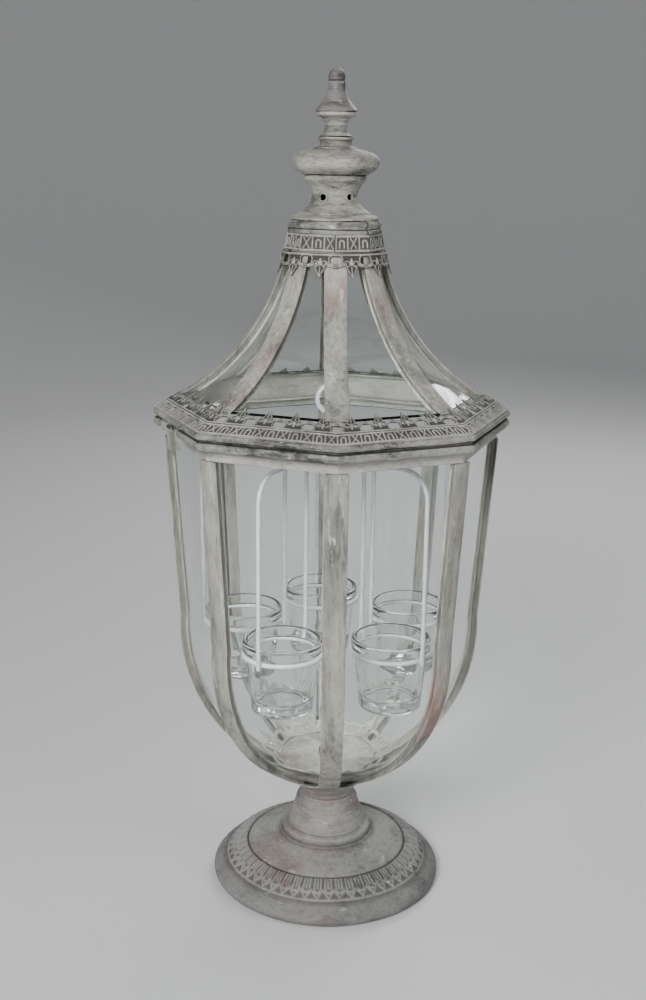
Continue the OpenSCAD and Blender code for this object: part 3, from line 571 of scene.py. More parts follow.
def leaf_band(r, z, a):
    """Raises the foot's outer slope by the leaf formula, and paints shade between the leaves, in the groove
    and on the roll.
    """
    v = (r - LEAF_IN) / (LEAF_OUT - LEAF_IN)
    outside = z > (FOOT_H * MM - 0.0205 - (r - LEAF_IN) * 0.78 - 0.0035)
    inside_band = ((v > 0) & (v < 1.08) & outside).astype(float)
    u = (a * LEAVES / (2 * math.pi)) % 1 - 0.5
    height = leaf_height(u, v) * inside_band
    rise = LEAF_RISE * height
    # Painted shade: between the leaves, along the groove inside the band, and down the outer side of the
    # roll.
    low = np.clip(0.85 - height * 1.2, 0, 1) * inside_band * np.clip((1.06 - v) * 8, 0, 1)
    groove = 0.6 * ridge(r - GROOVE_R, 1.5 * MM) * (z > FOOT_H * MM - 0.023)
    crease = 0.6 * ridge(r - CREASE_R, 1.6 * MM) + 0.38 * np.clip((r - 98.6 * MM) / (2 * MM), 0, 1)
    return r + rise * 0.45, z + rise * 0.9, 0.66 * low + groove + crease * (r > 96 * MM)


def foot_outline():
    """Outline of the foot plate, in mm: up the hollow, over the ring, down the slope, round the roll."""
    roll = 6.7
    turns = np.radians(np.linspace(62, -248, 13))
    rolled = [(FOOT_R - roll + roll * math.cos(t), max(0.0, roll - 0.5 + roll * math.sin(t))) for t in turns]
    down = np.linspace(0, 1, 21)[:, None]
    slope = (1 - down) * np.array([[77.6, FOOT_H - 20.6]]) + down * np.array([[95.6, FOOT_H - 32.0]])
    slope[:, 1] += 0.9 * np.sin(math.pi * down[:, 0])
    return np.array([
        *above(FOOT_H, (HOLE, -2), (HOLE, 0), (38.2, 0), (41.0, -0.5), (42.6, -1.8), (42.9, -3.6),
               (42.3, -5.4), (42.6, -7.0), (44.6, -8.9), (48, -10.6), (59, -15.0), (73.6, -19.4),
               (75.2, -20.2), (76.2, -21.6)),
        *slope, *above(FOOT_H, (96.4, -33.2), (97.4, -33.4)), *rolled, (94.4, 10.5),
        *above(FOOT_H, (90.6, -36.4), (76.2, -25.2), (44, -13), (38.5, -6.4), (36.4, -2))])


turned("foot_plate", foot_outline(), "root", "foot_paint", FOOT, ["foot_base"], soft=1.0, lift=leaf_band,
       around=LEAVES * 12, step=6.0, arc=2, seed=11)
turned("neck_bell", [
    *above(BELL_H, (HOLE, -2), (HOLE, 0), (25.4, 0), (25.6, -2.2), (27.4, -4.4), (29.0, -5.2), (29.6, -6.6),
           (29.8, -9.0), (31.6, -14.5), (34.4, -21), (36.2, -26), (36.9, -28.6), (36.4, -29.2),
           (37.5, -30.2)),
    (37.2, FOOT_H + 0.05), (34.0, FOOT_H + 0.05),
    *above(BELL_H, (33.8, -28), (29, -14), (26, -8.6), (23, -2))],
    "root", "foot_paint", FOOT, ["foot_bell"], seed=12)
turned("bowl_socket", [
    *above(BELL_H, (HOLE, 0.05), (24.9, 0.05), (25.1, 2.4), (27.0, 6.4), (31.4, 11.4), (36.6, 16.4),
           (39.2, 18.2)),
    *above(CUP_H, (39.5, -0.8), (38.6, 0), (36.5, 0)),
    *above(BELL_H, (33, 15.6), (28, 11), (22.6, 2.2), (HOLE, 2.2))],
    "root", "foot_paint", FOOT, ["bowl_cup"], seed=13)
print("leaf band:", LEAVES, "leaves")

# %% [markdown]
# Some sheets are pierced: the crested strips and the finial's dome. A field says how far inside the metal a
# place is: positive in the metal, negative in the openings. A flat grid is laid out, faces in the openings
# are left out, and the points along the cut are moved onto the line where the field is zero, by the field
# over its slope. Then the sheet gets its thickness and its walls, and a place function bends it to its
# shape. A Boolean would cut the same holes, but it leaves ragged faces where the metal is curved.

# %% Pierced sheets
def open_edges(faces):
    """Edges, as ordered pairs of corner numbers, that only one face uses."""
    pairs = np.stack([faces, np.roll(faces, -1, 1)], -1).reshape(-1, 2)
    _, first, count = np.unique(np.sort(pairs, 1), axis=0, return_index=True, return_counts=True)
    return pairs[first[count == 1]]


def thicken(faces, top, under):
    """A closed sheet: the top faces, the same turned over below, and walls along the open edges."""
    n = len(top)
    rim = open_edges(faces)
    walls = np.stack([rim[:, 1], rim[:, 0], rim[:, 0] + n, rim[:, 1] + n], -1)
    every = np.concatenate([faces, faces[:, ::-1] + n, walls])
    picked, numbers = np.unique(every, return_inverse=True)
    return numbers.reshape(-1, 4), np.concatenate([top, under])[picked], picked


def pierced(field, stand, place, span, tall, columns, rows):
    """A pierced sheet that closes on itself, span mm round and tall mm across.

    field(x, y) and stand(x, y) take mm along and across. stand gives the heights of the underside and the
    top and the painted shade; place(share round, y, height) gives points in mm.
    """
    x, y = np.meshgrid(np.arange(columns) * span / columns, np.linspace(0, tall, rows), indexing="ij")
    cells = quads(columns, rows, True, False)
    kept = cells[field(x, y).reshape(-1)[cells].mean(1) > 0]
    edge = np.zeros(x.size)
    edge[open_edges(kept).reshape(-1)] = 1
    edge = edge.reshape(x.shape)
    step = 0.05
    for _ in range(3):
        here = field(x, y)
        gx, gy = (field(x + step, y) - here) / step, (field(x, y + step) - here) / step
        move = np.clip(-here / (gx ** 2 + gy ** 2 + 1e-3), -0.5, 0.5) * edge
        x, y = x + move * gx, np.clip(y + move * gy, 0, tall)
    under, top, deep = stand(x, y)
    share = x / span
    upper, lower = (place(share, y, height).reshape(-1, 3) for height in (top, under))
    faces, points, picked = thicken(kept, upper, lower)
    # The underside gets half-strength painted shade.
    deep = np.concatenate([deep.reshape(-1), np.full(x.size, 0.5)])[picked]
    return points * MM, faces, deep


def along_line(line, distance):
    """Points and left-hand normals at distances along a line of (radius, height)."""
    marks = np.concatenate([[0], np.cumsum(np.linalg.norm(np.diff(line, axis=0), axis=1))])

    def at(shift):
        """Points a little further along the line, between its own points in proportion."""
        return np.stack([np.interp(distance + shift, marks, line[:, k]) for k in (0, 1)], -1)

    run = at(0.4) - at(-0.4)
    run = run / (np.linalg.norm(run, axis=-1, keepdims=True) + 1e-9)
    return at(0), np.stack([-run[..., 1], run[..., 0]], -1)


def round_place(line, sign):
    """A place function: the line of (radius, height) is carried round a circle; height stands off it."""
    def place(share, y, height):
        """(r cos a, r sin a, z), with r and z on the line and off it by the height."""
        at, normal = along_line(line, y)
        at = at + sign * normal * height[..., None]
        a = 2 * math.pi * share - math.pi / 2
        return np.stack([at[..., 0] * np.cos(a), at[..., 0] * np.sin(a), at[..., 1]], -1)
    return place


# %% [markdown]
# The finial stacks a vented dome, a bulb, a waisted spool and a cone with a knob. They are turned in the
# same way, and the dome is a pierced sheet with five real holes, each with a small raised rim.

# %% Finial
CAP_TOP, DOME_TOP, BULB_TOP = top_of("roof_cap"), top_of("vent_dome"), top_of("finial_bulb")
SPOOL_TOP, TIP_TOP = top_of("finial_spool"), top_of("finial_tip")
DOME_R, BULB_R, TIP_R = reach_of("vent_dome"), reach_of("finial_bulb"), reach_of("finial_tip")
ROD_HOLE, WAIST_R, DOME_LIP_R = 2.8, 19.4, 27.0
WAIST_Z = CAP_TOP + 0.54 * (DOME_TOP - CAP_TOP)
VENT_HOLES, VENT_R, VENT_START = 5, 2.8, math.radians(-34)


def dome_line():
    """The dome's outer line, in mm, from the brim up over its waist to the hole in its top."""
    return soft_outline([
        *above(CAP_TOP, (DOME_R - 0.1, 0), (DOME_R, 1.8), (33.3, 3.7), (31.4, 4.2), (31.0, 5.6), (26.8, 7.8),
               (22.4, 12.6)),
        *above(WAIST_Z, (20.0, -3.6), (WAIST_R, -1.6), (WAIST_R, 0), (20.2, 3.4), (22.4, 8), (24.6, 10.6),
               (26.6, 12.2), (DOME_LIP_R, 13.2)),
        (DOME_LIP_R, DOME_TOP), (ROD_HOLE, DOME_TOP)], 1.0)


def vented_dome():
    """A pierced turned sheet. The field is the distance from the nearest hole's rim."""
    line = dome_line()
    marks = np.concatenate([[0], np.cumsum(np.linalg.norm(np.diff(line, axis=0), axis=1))])
    tall, span = marks[-1], 2 * math.pi * WAIST_R
    hole_y = np.interp(WAIST_Z - 1.4, line[:-3, 1], marks[:-3])
    hollow = hollow_shade(line * MM, step=2)

    def from_hole(x, y):
        """Distance outwards from the rim of the nearest hole."""
        pitch = span / VENT_HOLES
        nearest = (x - VENT_START * WAIST_R + pitch / 2) % pitch - pitch / 2
        return np.hypot(nearest, y - hole_y) - VENT_R

    def field(x, y):
        """Metal lies outside the holes and between the sheet's two edges."""
        return np.minimum(from_hole(x, y), np.minimum(y, tall - y) + 0.02)

    def stand(x, y):
        """Underside, top with a raised rim round each hole, and painted shade in the hollows and round each
        hole.
        """
        away = from_hole(x, y)
        deep = np.interp(y, marks, hollow) + 0.5 * ridge(np.abs(away - 1.9), 1.0)
        return 0 * y - 1.4, 0.7 * ridge(np.abs(away - 0.7), 0.9), deep

    points, faces, deep = pierced(field, stand, round_place(line, -1), span, tall, 190, 96)
    piece = make_piece("vented_dome", wobble(points, 0.25 * MM, 60, 21), faces, [SPUN], deep)
    settle(piece, "lid", "stone_paint", "vent_dome")


vented_dome()
turned("finial_ball", [
    *above(DOME_TOP, (ROD_HOLE, 2), (ROD_HOLE, 0.02), (28.0, 0.02), (29.2, 0.9), (BULB_R - 4.6, 2.8),
           (BULB_R - 1.6, 5.2), (BULB_R - 0.2, 7.8), (BULB_R, 10.7), (BULB_R - 0.4, 13.4),
           (BULB_R - 2.2, 15.8), (BULB_R - 6, 18), (BULB_R - 12, 19.9), (19.2, 21.8), (18.9, 22.6),
           (14.6, 23.4), (13.6, 24.6), (13.6, 28.4), (15.0, 29.0), (15.3, 30.0)),
    *above(BULB_TOP, (15.1, -0.3), (14.4, 0), (ROD_HOLE, 0), (ROD_HOLE, -2), (11, -2)),
    *above(DOME_TOP, (11, 23), (24.7, 17), (32.7, 13), (34.7, 10.7), (33.7, 6.4), (26, 2))],
    "lid", "stone_paint", SPUN, ["finial_bulb"], soft=1.6, creases=(DOME_TOP + 0.1, BULB_TOP - 0.1), seed=22)
MID = BULB_TOP + 0.42 * (SPOOL_TOP - BULB_TOP)
turned("finial_waist", [
    *above(BULB_TOP, (ROD_HOLE, 0.02), (14.3, 0.02), (14.2, 0.7), (12.2, 1.7)),
    *above(MID, (10.4, -4.4), (9.3, 0), (9.9, 3.6), (12.2, 6.8)),
    *above(SPOOL_TOP, (15.0, -3.8), (16.8, -3.2), (17.0, -2.6), (17.0, -0.4), (16.2, 0), (ROD_HOLE, 0))],
    "lid", "stone_paint", SPUN, ["finial_spool"], soft=0.9, creases=(BULB_TOP + 0.1, SPOOL_TOP - 0.1),
    seed=23)


def worn_tip(r, z, a):
    """Handled dark at the very top."""
    return r, z, 0.42 * np.clip((z / MM - SPOOL_TOP - 23) / 3, 0, 1)


turned("finial_knob", [
    *above(SPOOL_TOP, (2.6, 0.02), (17.0, 0.02), (TIP_R, 0.7), (17.4, 1.8), (14.8, 5), (11.8, 9),
           (10.2, 12.3), (8.2, 17), (7.6, 19.5), (7.5, 23.4), (7.6, 24.6), (6.6, 25.4),
           (7.1, 26.6), (7.2, 29.4), (6.6, 32), (5.0, 34.2)),
    *above(TIP_TOP, (2.6, -0.3), (0.05, 0)), *above(SPOOL_TOP, (0.05, 19.8), (2.6, 19.8))],
    "lid", "knob_paint", KNOB, ["finial_tip"], soft=1.2, creases=(SPOOL_TOP + 0.1, SPOOL_TOP + 25.4), seed=24,
    lift=worn_tip)
print("finial: four turned pieces,", VENT_HOLES, "vent holes")

# %% [markdown]
# Everything glazed is octagonal. A station is a place round the octagon: a face, and how far along it.
# Given the corner radius of a point, the station says where the point lies, so one outline carried through
# all stations gives a band with true mitred corners. The band can start and end on one face, which leaves
# room for the hinge.

# %% Octagonal bands
HALF_SIDE = math.sin(TURN / 2)
CORNER_PULL = 0.35 * MM
HINGE_FACE = 6
NOTCH = (-50.4, 7.6)
SOFT_CORNER = np.concatenate([[-1, -0.985, -0.96, -0.9], np.linspace(-0.8, 0.8, 13), [0.9, 0.96, 0.985, 1]])


def face_frame(face):
    """Directions out of a face and along it, for an array of face numbers."""
    angle = -math.pi / 2 + TURN * (np.asarray(face) + 0.5)
    return np.stack([np.cos(angle), np.sin(angle)], -1), np.stack([-np.sin(angle), np.cos(angle)], -1)


def stations(cut=None):
    """Stations round the octagon: face numbers and the two terms of t = shift + share * (half the side).

    cut = (face, from, to) leaves that stretch of one face out, in mm along the face.
    """
    whole = SOFT_CORNER[1:]
    if cut is None:
        rows = [(np.full(len(whole), face), 0 * whole, whole) for face in range(SIDES)]
    else:
        q = (SOFT_CORNER + 1) / 2
        rows = [(np.full(len(q), cut[0]), (1 - q) * cut[2] * MM, q)]
        for face in range(cut[0] + 1, cut[0] + SIDES):
            rows += [(np.full(len(whole), face % SIDES), 0 * whole, whole)]
        rows += [(np.full(len(whole), cut[0]), q[1:] * cut[1] * MM, -(1 - q[1:]))]
    return [np.concatenate(parts) for parts in zip(*rows)]


def on_octagon(face, shift, share, r, z):
    """Points for stations and outline points: r is a corner radius, z a height, in metres."""
    out, along = face_frame(face)
    t = shift[:, None] + share[:, None] * r[None, :] * HALF_SIDE
    flat = (r * FACE)[None, :, None] * out[:, None] + t[:, :, None] * along[:, None]
    return np.concatenate([flat, np.broadcast_to(z[None, :, None], flat.shape[:2] + (1,))], -1)


def band(name, corners, body, slot, material, nodes, soft=0.5, cut=None, seed=31, shake=0.3 * MM, creases=()):
    """An outline, in mm of corner radius and height, carried round the octagon.

    Close to a corner the points are pulled towards the axis by CORNER_PULL, which rounds the corner slightly.
    """
    outline = clockwise(soft_outline(corners, soft, 3)) * MM
    face, shift, share = stations(cut)
    points = on_octagon(face, shift, share, outline[:, 0], outline[:, 1])
    nearness = np.clip((np.abs(share) - 0.94) / 0.06, 0, 1)
    if cut is not None:
        nearness[[0, -1]] = 0
    points[..., :2] *= 1 - (CORNER_PULL * nearness ** 2 / outline[:, 0].mean())[:, None, None]
    rows, columns = points.shape[:2]
    # Painted shade in the hollows of the outline and at its creases.
    deep = np.tile(hollow_shade(outline, step=2) + crease_shade(outline[:, 1], creases), rows)
    points = wobble(points.reshape(-1, 3), shake, 40, seed)
    faces, caps = (quads(rows, columns, True, True), ()) if cut is None else bar_faces(rows, columns)
    return settle(make_piece(name, points, faces, [material], deep, caps=caps), body, slot, *nodes)


def ring_of(x, z, r, start, stop, count):
    """Points on a circle of an outline, from one angle to another in degrees."""
    a = np.radians(np.linspace(start, stop, count))
    return [(x + r * math.cos(t), z + r * math.sin(t)) for t in a]


LIP_Z, WALL_TOP, UPPER_Z = top_of("body_lip"), top_of("body_rib_1"), top_of("upper_bead")
BODY_R = -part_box("body_rib_1")[0][1] / MM
RIM_R, LID_Z = reach_of("lower_bead"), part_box("lower_bead")[0][2] / MM
SHEET = 1.4
LOW_ROLL, HIGH_ROLL, LINE = 3.9, 3.0, 1.5
NOTCH_TOP = LID_Z + 2 * LOW_ROLL + LINE
WALL_IN = RIM_R - 2 * LOW_ROLL - SHEET
WALL_OUT = WALL_IN + SHEET
TAPE_R, APRON_Z, ROOF_R = RIM_R - 1.8, UPPER_Z + 0.6, RIM_R - 27.5
APRON_RISE, APRON_IN = 14.0, RIM_R - 14
ROOF_Z = APRON_Z + APRON_RISE
SLOPE = APRON_RISE / (TAPE_R - ROOF_R)


def apron(r):
    """Height of the lid's sloping apron at a corner radius, in mm."""
    return APRON_Z + (TAPE_R - r) * SLOPE


band("body_mouth_band", [
    (BODY_R - SHEET, WALL_TOP), (BODY_R, WALL_TOP + 0.1), (BODY_R + 0.15, WALL_TOP + 1.0),
    (BODY_R - 0.25, LIP_Z - 5), (BODY_R, LIP_Z - 0.9), (BODY_R - 0.5, LIP_Z), (BODY_R - 13.5, LIP_Z),
    (BODY_R - 13.5, LIP_Z - SHEET), (BODY_R - SHEET, LIP_Z - SHEET)],
    "root", "stone_paint", MOUTH, ["body_lip"], seed=32)
band("lid_lower_roll", [
    (WALL_OUT, LID_Z + 1.4),
    *ring_of(RIM_R - LOW_ROLL, LID_Z + LOW_ROLL, LOW_ROLL, -140, 118, 20),
    (RIM_R - LOW_ROLL - 1.9, NOTCH_TOP - 1.8),
    *ring_of(RIM_R - LOW_ROLL - 1.2, NOTCH_TOP - 0.85, 0.8, -110, 80, 6),
    (WALL_OUT, NOTCH_TOP - 0.05)],
    "lid", "stone_paint", ROLL, ["lower_bead"], soft=0.3, cut=(HINGE_FACE, *NOTCH), seed=33, shake=0.35 * MM,
    creases=(NOTCH_TOP - 1.9, NOTCH_TOP))
band("lid_upper_roll", [
    (WALL_OUT, NOTCH_TOP + 0.3), (RIM_R - 5.4, NOTCH_TOP + 0.1),
    *ring_of(RIM_R - HIGH_ROLL, UPPER_Z - HIGH_ROLL, HIGH_ROLL, -118, 84, 16),
    (RIM_R - 4.2, UPPER_Z - 0.15), (WALL_OUT, UPPER_Z - 1)],
    "lid", "stone_paint", ROLL, ["upper_bead"], soft=0.3, seed=34, creases=(NOTCH_TOP + 0.5,))
band("lid_wall_foot", [
    (WALL_IN, LID_Z), (WALL_OUT - 0.02, LID_Z), (WALL_OUT - 0.02, NOTCH_TOP), (WALL_IN, NOTCH_TOP)],
    "lid", "stone_paint", MOUTH, [], cut=(HINGE_FACE, *NOTCH), seed=35, shake=0)
band("lid_apron", [
    (WALL_IN, NOTCH_TOP), (WALL_OUT - 0.02, NOTCH_TOP), (WALL_OUT - 0.02, apron(WALL_OUT) - SHEET),
    (TAPE_R, UPPER_Z + 0.05), (TAPE_R + 0.1, APRON_Z), (TAPE_R - 0.6, APRON_Z + 0.3),
    (APRON_IN, apron(APRON_IN)), (APRON_IN, apron(APRON_IN) - SHEET), (WALL_IN, apron(WALL_IN) - SHEET)],
    "lid", "stone_paint", MOUTH, ["lid_frame"], soft=0.25, seed=36, shake=0.05 * MM)
print("bands round the mouth and the lid: 5, rim", round(2 * RIM_R, 1), "mm across corners")

# %% [markdown]
# A rib is a T of sheet metal with cement along both sides. Its cross-section has a crowned cover strip, a
# cement fillet that slopes to the glass, the web between the two panes, and a narrower strip inside. That
# section is carried along the rib's curve: a leaning wall and then a circle for the body, a hollow circle
# for the roof. A bevelled curve would be quicker, but its section would twist at the bend.

# %% The ribs' curves
CURVE_R, LEAN, WIDEST_R = 163.0, math.radians(3.9), 138.7
CURVE_X = WIDEST_R - CURVE_R
END_R = 42.0
END_TURN = math.acos((END_R - CURVE_X) / CURVE_R)
CURVE_Z = CUP_H + 0.4 + 1 + CURVE_R * math.sin(END_TURN)
ROOF_TOP_Z = top_of("roof_ribs")
ROOF_TOP_R, HOLLOW_R = 43.0, 189.0


def body_curve(spacing=3.2, stop=END_TURN):
    """Points down a body rib's face, in mm, and the directions inwards: a straight wall, then a circle."""
    turn = np.linspace(LEAN, -stop, int(CURVE_R * (stop + LEAN) / spacing))
    inward = -np.stack([np.cos(turn), np.sin(turn)], -1)
    arc = np.array([CURVE_X, CURVE_Z]) - CURVE_R * inward
    rise = np.linspace(WALL_TOP - arc[0, 1], 0, 44)[:-1, None]
    wall = arc[0] + rise * [math.tan(LEAN), 1]
    return np.concatenate([wall, arc]), np.concatenate([np.tile(inward[:1], (len(wall), 1)), inward])


def hollow_centre():
    """Centre of the hollow circle through the foot and the top of a roof rib."""
    foot, top = np.array([ROOF_R, ROOF_Z]), np.array([ROOF_TOP_R, ROOF_TOP_Z])
    half = (top - foot) / 2
    arm = math.sqrt(HOLLOW_R ** 2 - half @ half)
    return (foot + top) / 2 + arm * np.array([half[1], -half[0]]) / np.linalg.norm(half)


HOLLOW = hollow_centre()


def roof_curve(low=None, high=None, count=54):
    """Points up a roof rib's face, in mm, and the directions inwards: a circle with its centre outside."""
    z = np.array([ROOF_Z if low is None else low, ROOF_TOP_Z if high is None else high])
    ends = math.pi + np.arcsin((HOLLOW[1] - z) / HOLLOW_R)
    turn = np.linspace(*ends, count)
    inward = np.stack([np.cos(turn), np.sin(turn)], -1)
    return HOLLOW + HOLLOW_R * inward, inward


RIB_W, RIB_INNER_W, RIB_DEEP = 19.5, 13.5, 9.5
PANE_DEPTH, GLASS = 1.6, 3.0
FALL = math.tan(TURN / 2)


def rib_section():
    """Half the rib's section as (across, depth), mirrored to the whole, and the painted shade at each point.
    """
    w, i = RIB_W / 2, RIB_INNER_W / 2
    half = np.array([
        (0, -0.05), (w * 0.45, 0.0), (w - 0.9, 0.12), (w - 0.25, 0.45), (w, 1.0), (w - 0.2, 1.5),
        (w - 0.75, 2.0), (w - 1.3, PANE_DEPTH + FALL * (w - 1.3) - 0.05), (4.0, 3.1),
        (3.95, PANE_DEPTH + GLASS / FACE + 1.75), (i - 0.6, 7.5), (i, 8.2), (i, 9.2), (i - 0.5, RIB_DEEP),
        (i * 0.5, RIB_DEEP)])
    # Painted shade down the sides of the rib, on the cement fillet and on the web beside the glass.
    deep = np.array([0, 0, 0, 0, 0.1, 0.45, 0.5, 0.45, 0.3, 0.25, 0.3, 0.15, 0, 0, 0])
    return np.concatenate([half, half[:0:-1] * [-1, 1]]), np.concatenate([deep, deep[:0:-1]])


def ray(corner):
    """Directions out along one corner's ray and across it."""
    angle = -math.pi / 2 + TURN * corner
    return np.array([math.cos(angle), math.sin(angle)]), np.array([-math.sin(angle), math.cos(angle)])


def rib(name, corner, curve, inward, seed, foot=0.0):
    """The section carried along a curve in a corner's upright plane: curve + depth * inward, then across.

    foot is the height, in mm, at which the rib is cut level.
    """
    section, deep = rib_section()
    out, along = ray(corner)
    rz = curve[:, None] + section[None, :, 1:] * inward[:, None]
    flat = rz[..., :1] * out + section[None, :, :1] * along
    points = np.concatenate([flat, rz[..., 1:]], -1) * MM
    rows, columns = points.shape[:2]
    points = wobble(points.reshape(-1, 3), 0.1 * MM, 30, seed)
    points[:, 2] = np.maximum(points[:, 2], foot * MM)
    faces, caps = bar_faces(rows, columns, curve[-1, 1] < curve[0, 1])
    return make_piece(name, points, faces, [STONE], np.tile(deep, rows), caps=caps)


def ribs():
    """Eight body ribs, and eight roof ribs whose feet are cut level on the edge of the apron."""
    for k in range(SIDES):
        piece = rib(f"rib_{k + 1}", k, *body_curve(), 40 + k)
        settle(piece, "root", "stone_paint", f"body_rib_{k + 1}")
    for k in range(SIDES):
        piece = rib(f"roof_rib_{k + 1}", k, *roof_curve(low=ROOF_Z - 0.5), 60 + k, ROOF_Z + 0.25)
        settle(piece, "lid", "stone_paint", *(["roof_ribs"] if k == 0 else []))


ribs()
print("ribs: 8 on the body, 8 on the roof")

# %% [markdown]
# A pane is one slab of window glass, slumped over the same curve. It is a closed solid: an outer sheet, an
# inner sheet and the cut edges between them, which carry the greener glass.

# %% Panes
PANE_BACK = RIB_INNER_W * 0.29 + 0.2


def pane(name, face, curve, inward, thick, across=9):
    """A slab behind the ribs' faces, as wide as the space between two ribs' webs.

    A point is curve + depth * inward, then along the face by a share of half the slab's width there.
    """
    out, along = face_frame(face)
    u = np.linspace(-1, 1, across)
    loop_u = np.concatenate([u, u[::-1]])
    loop_d = np.concatenate([np.full(across, PANE_DEPTH), np.full(across, PANE_DEPTH + thick)])
    rz = curve[:, None] + loop_d[None, :, None] * inward[:, None]
    x = rz[..., 0] * FACE
    half = (x * HALF_SIDE - PANE_BACK) / FACE
    flat = x[..., None] * out + (half * loop_u)[..., None] * along
    points = np.concatenate([flat, rz[..., 1:]], -1).reshape(-1, 3) * MM
    rows, columns = len(curve), len(loop_u)
    faces, caps = bar_faces(rows, columns, curve[-1, 1] < curve[0, 1])
    edge = np.tile(np.isin(np.arange(columns), [across - 1, columns - 1]).astype(int), rows - 1)
    slots = np.concatenate([edge, [1, 1]])
    return make_piece(name, points, faces, [PANE, PANE_EDGE], face_slots=slots, caps=caps)


def panes():
    """Eight body panes and eight roof panes."""
    for k in range(SIDES):
        piece = pane(f"pane_{k + 1}", k, *body_curve(5.0, END_TURN - math.radians(1)), GLASS / FACE)
        settle(piece, "root", "pane_glass", f"body_pane_{k + 1}")
    for k in range(SIDES):
        piece = pane(f"roof_pane_{k + 1}", k, *roof_curve(ROOF_Z + 1.6, ROOF_TOP_Z - 0.2, 34), GLASS)
        settle(piece, "lid", "pane_glass", *(["roof_panes"] if k == 0 else []))


panes()
print("panes: 16, glass", GLASS, "mm thick")

# %% [markdown]
# The lid carries a stamped tape: raised rails along both edges, upright bars, and between them a looped U
# and a bow-tie by turns. The height of the metal is again a formula, of the distance along the tape and
# across it. The same tape, in one flat length per side with lapped ends, makes the collar under the cap. A
# plain band with a bump would look flat where the tape turns the corners of the rim.

# %% Stamped tape
TAPE_CELL, TAPE_WIDE, TAPE_RISE = 10.25, 11.0, 0.75


def tape_height(along, v, wide):
    """Height 0 to 1 of the tape, for mm along it and v from 0 to 1 across its width."""
    along, v = np.broadcast_arrays(along, v)
    number = np.floor(along / TAPE_CELL)
    x = along / TAPE_CELL - number - 0.5
    y = (v - 0.5) * wide / TAPE_CELL
    rails = np.maximum(ridge(np.abs(v - 0.06), 0.10), ridge(np.abs(v - 0.94), 0.10))
    bars = ridge(np.abs(np.abs(x) - 0.5), 0.085)
    loop = ridge(np.abs(np.hypot(x, np.maximum(0, y - 0.06)) - 0.19), 0.085) * (y > -0.40)
    bow = ridge(np.abs(np.abs(x) - np.abs(y) * 0.62), 0.085) * (np.abs(y) < 0.42)
    inside = np.where(number % 2 == 0, loop, bow)
    return np.maximum.reduce([rails, bars * 0.9, inside])


def relief_band(name, low, high, across, per_side, cells, laps, seed, shake, nodes):
    """A stamped strip round the octagon. low and high are its edges as (corner radius, height) in mm.

    A point lies between the two edges by its share v, and stands off them along the strip's normal by the
    height of the stamping. laps raises the overlapped end of each side's length of tape.
    """
    low, high = np.array(low), np.array(high)
    p = np.linspace(0, SIDES, SIDES * per_side, endpoint=False)
    face = np.floor(p + 1e-9).astype(int)
    share = 2 * (p - face) - 1
    run = (high - low) * [FACE, 1]
    normal = np.array([run[1], -run[0]]) / np.hypot(*run)
    v = np.linspace(0, 1, across)
    height = tape_height(p[:, None] / SIDES * cells * TAPE_CELL, v[None, :], wide=np.hypot(*run))
    end = np.abs(share - 0.93) * (low[0] + high[0]) / 2 * HALF_SIDE
    stand = 0.25 + TAPE_RISE * height + laps * np.clip(1 - end[:, None] / 1.4, 0, 1)
    back = np.full((len(p), 1), -0.5)
    v = np.concatenate([[0], v, [1]])
    off = np.concatenate([back, stand, back], 1)
    corner = low + v[:, None] * (high - low)
    radius = corner[None, :, 0] + off * normal[0] / FACE
    z = corner[None, :, 1] + off * normal[1]
    out, along = face_frame(face)
    t = share[:, None] * radius * HALF_SIDE
    flat = (radius * FACE)[..., None] * out[:, None] + t[..., None] * along[:, None]
    points = np.concatenate([flat, z[..., None]], -1).reshape(-1, 3) * MM
    # Painted shade in the low parts of the stamping and along the strip's edges, and a dark line at each
    # lapped end.
    edge = np.full((len(p), 1), 0.5)
    deep = np.concatenate([edge, 1 - height, edge], 1) * 0.75 + 0.9 * (end[:, None] < 0.5) * (laps > 0)
    points = wobble(points, shake, 60, seed)
    piece = make_piece(name, points, quads(*z.shape, True, True), [CREST], deep.reshape(-1))
    return settle(piece, "lid", "crest_metal", *nodes)


TAPE_IN = TAPE_R - TAPE_WIDE
COLLAR_Z, CAP_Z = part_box("collar_tape")[0][2] / MM, top_of("collar_tape")
relief_band("rim_stamped_tape", (TAPE_R, apron(TAPE_R)), (TAPE_IN, apron(TAPE_IN)), 20, 250, cells=92, laps=0,
            seed=71, shake=0.2 * MM, nodes=["rim_tape"])
relief_band("collar_stamped_tape", (42.6, COLLAR_Z), (40.2, CAP_Z), 22, 96, cells=24, laps=0.55,
            seed=72, shake=0.25 * MM, nodes=["collar_tape"])
print("tape: 92 cells round the rim, 24 round the collar")

# %% [markdown]
# The crested strip is a pierced sheet too: a bar with a scalloped edge, arched windows and round holes, and
# a hanging leaf in the middle of each unit. Stamped lines follow the cut edges, and teardrops and scrolls
# fill the bar. It is used three times: round the rim, under the cap, and over the floor of the bowl.

# %% Crested strip
CREST_PITCH, CREST_TALL = 24.5, 20.0


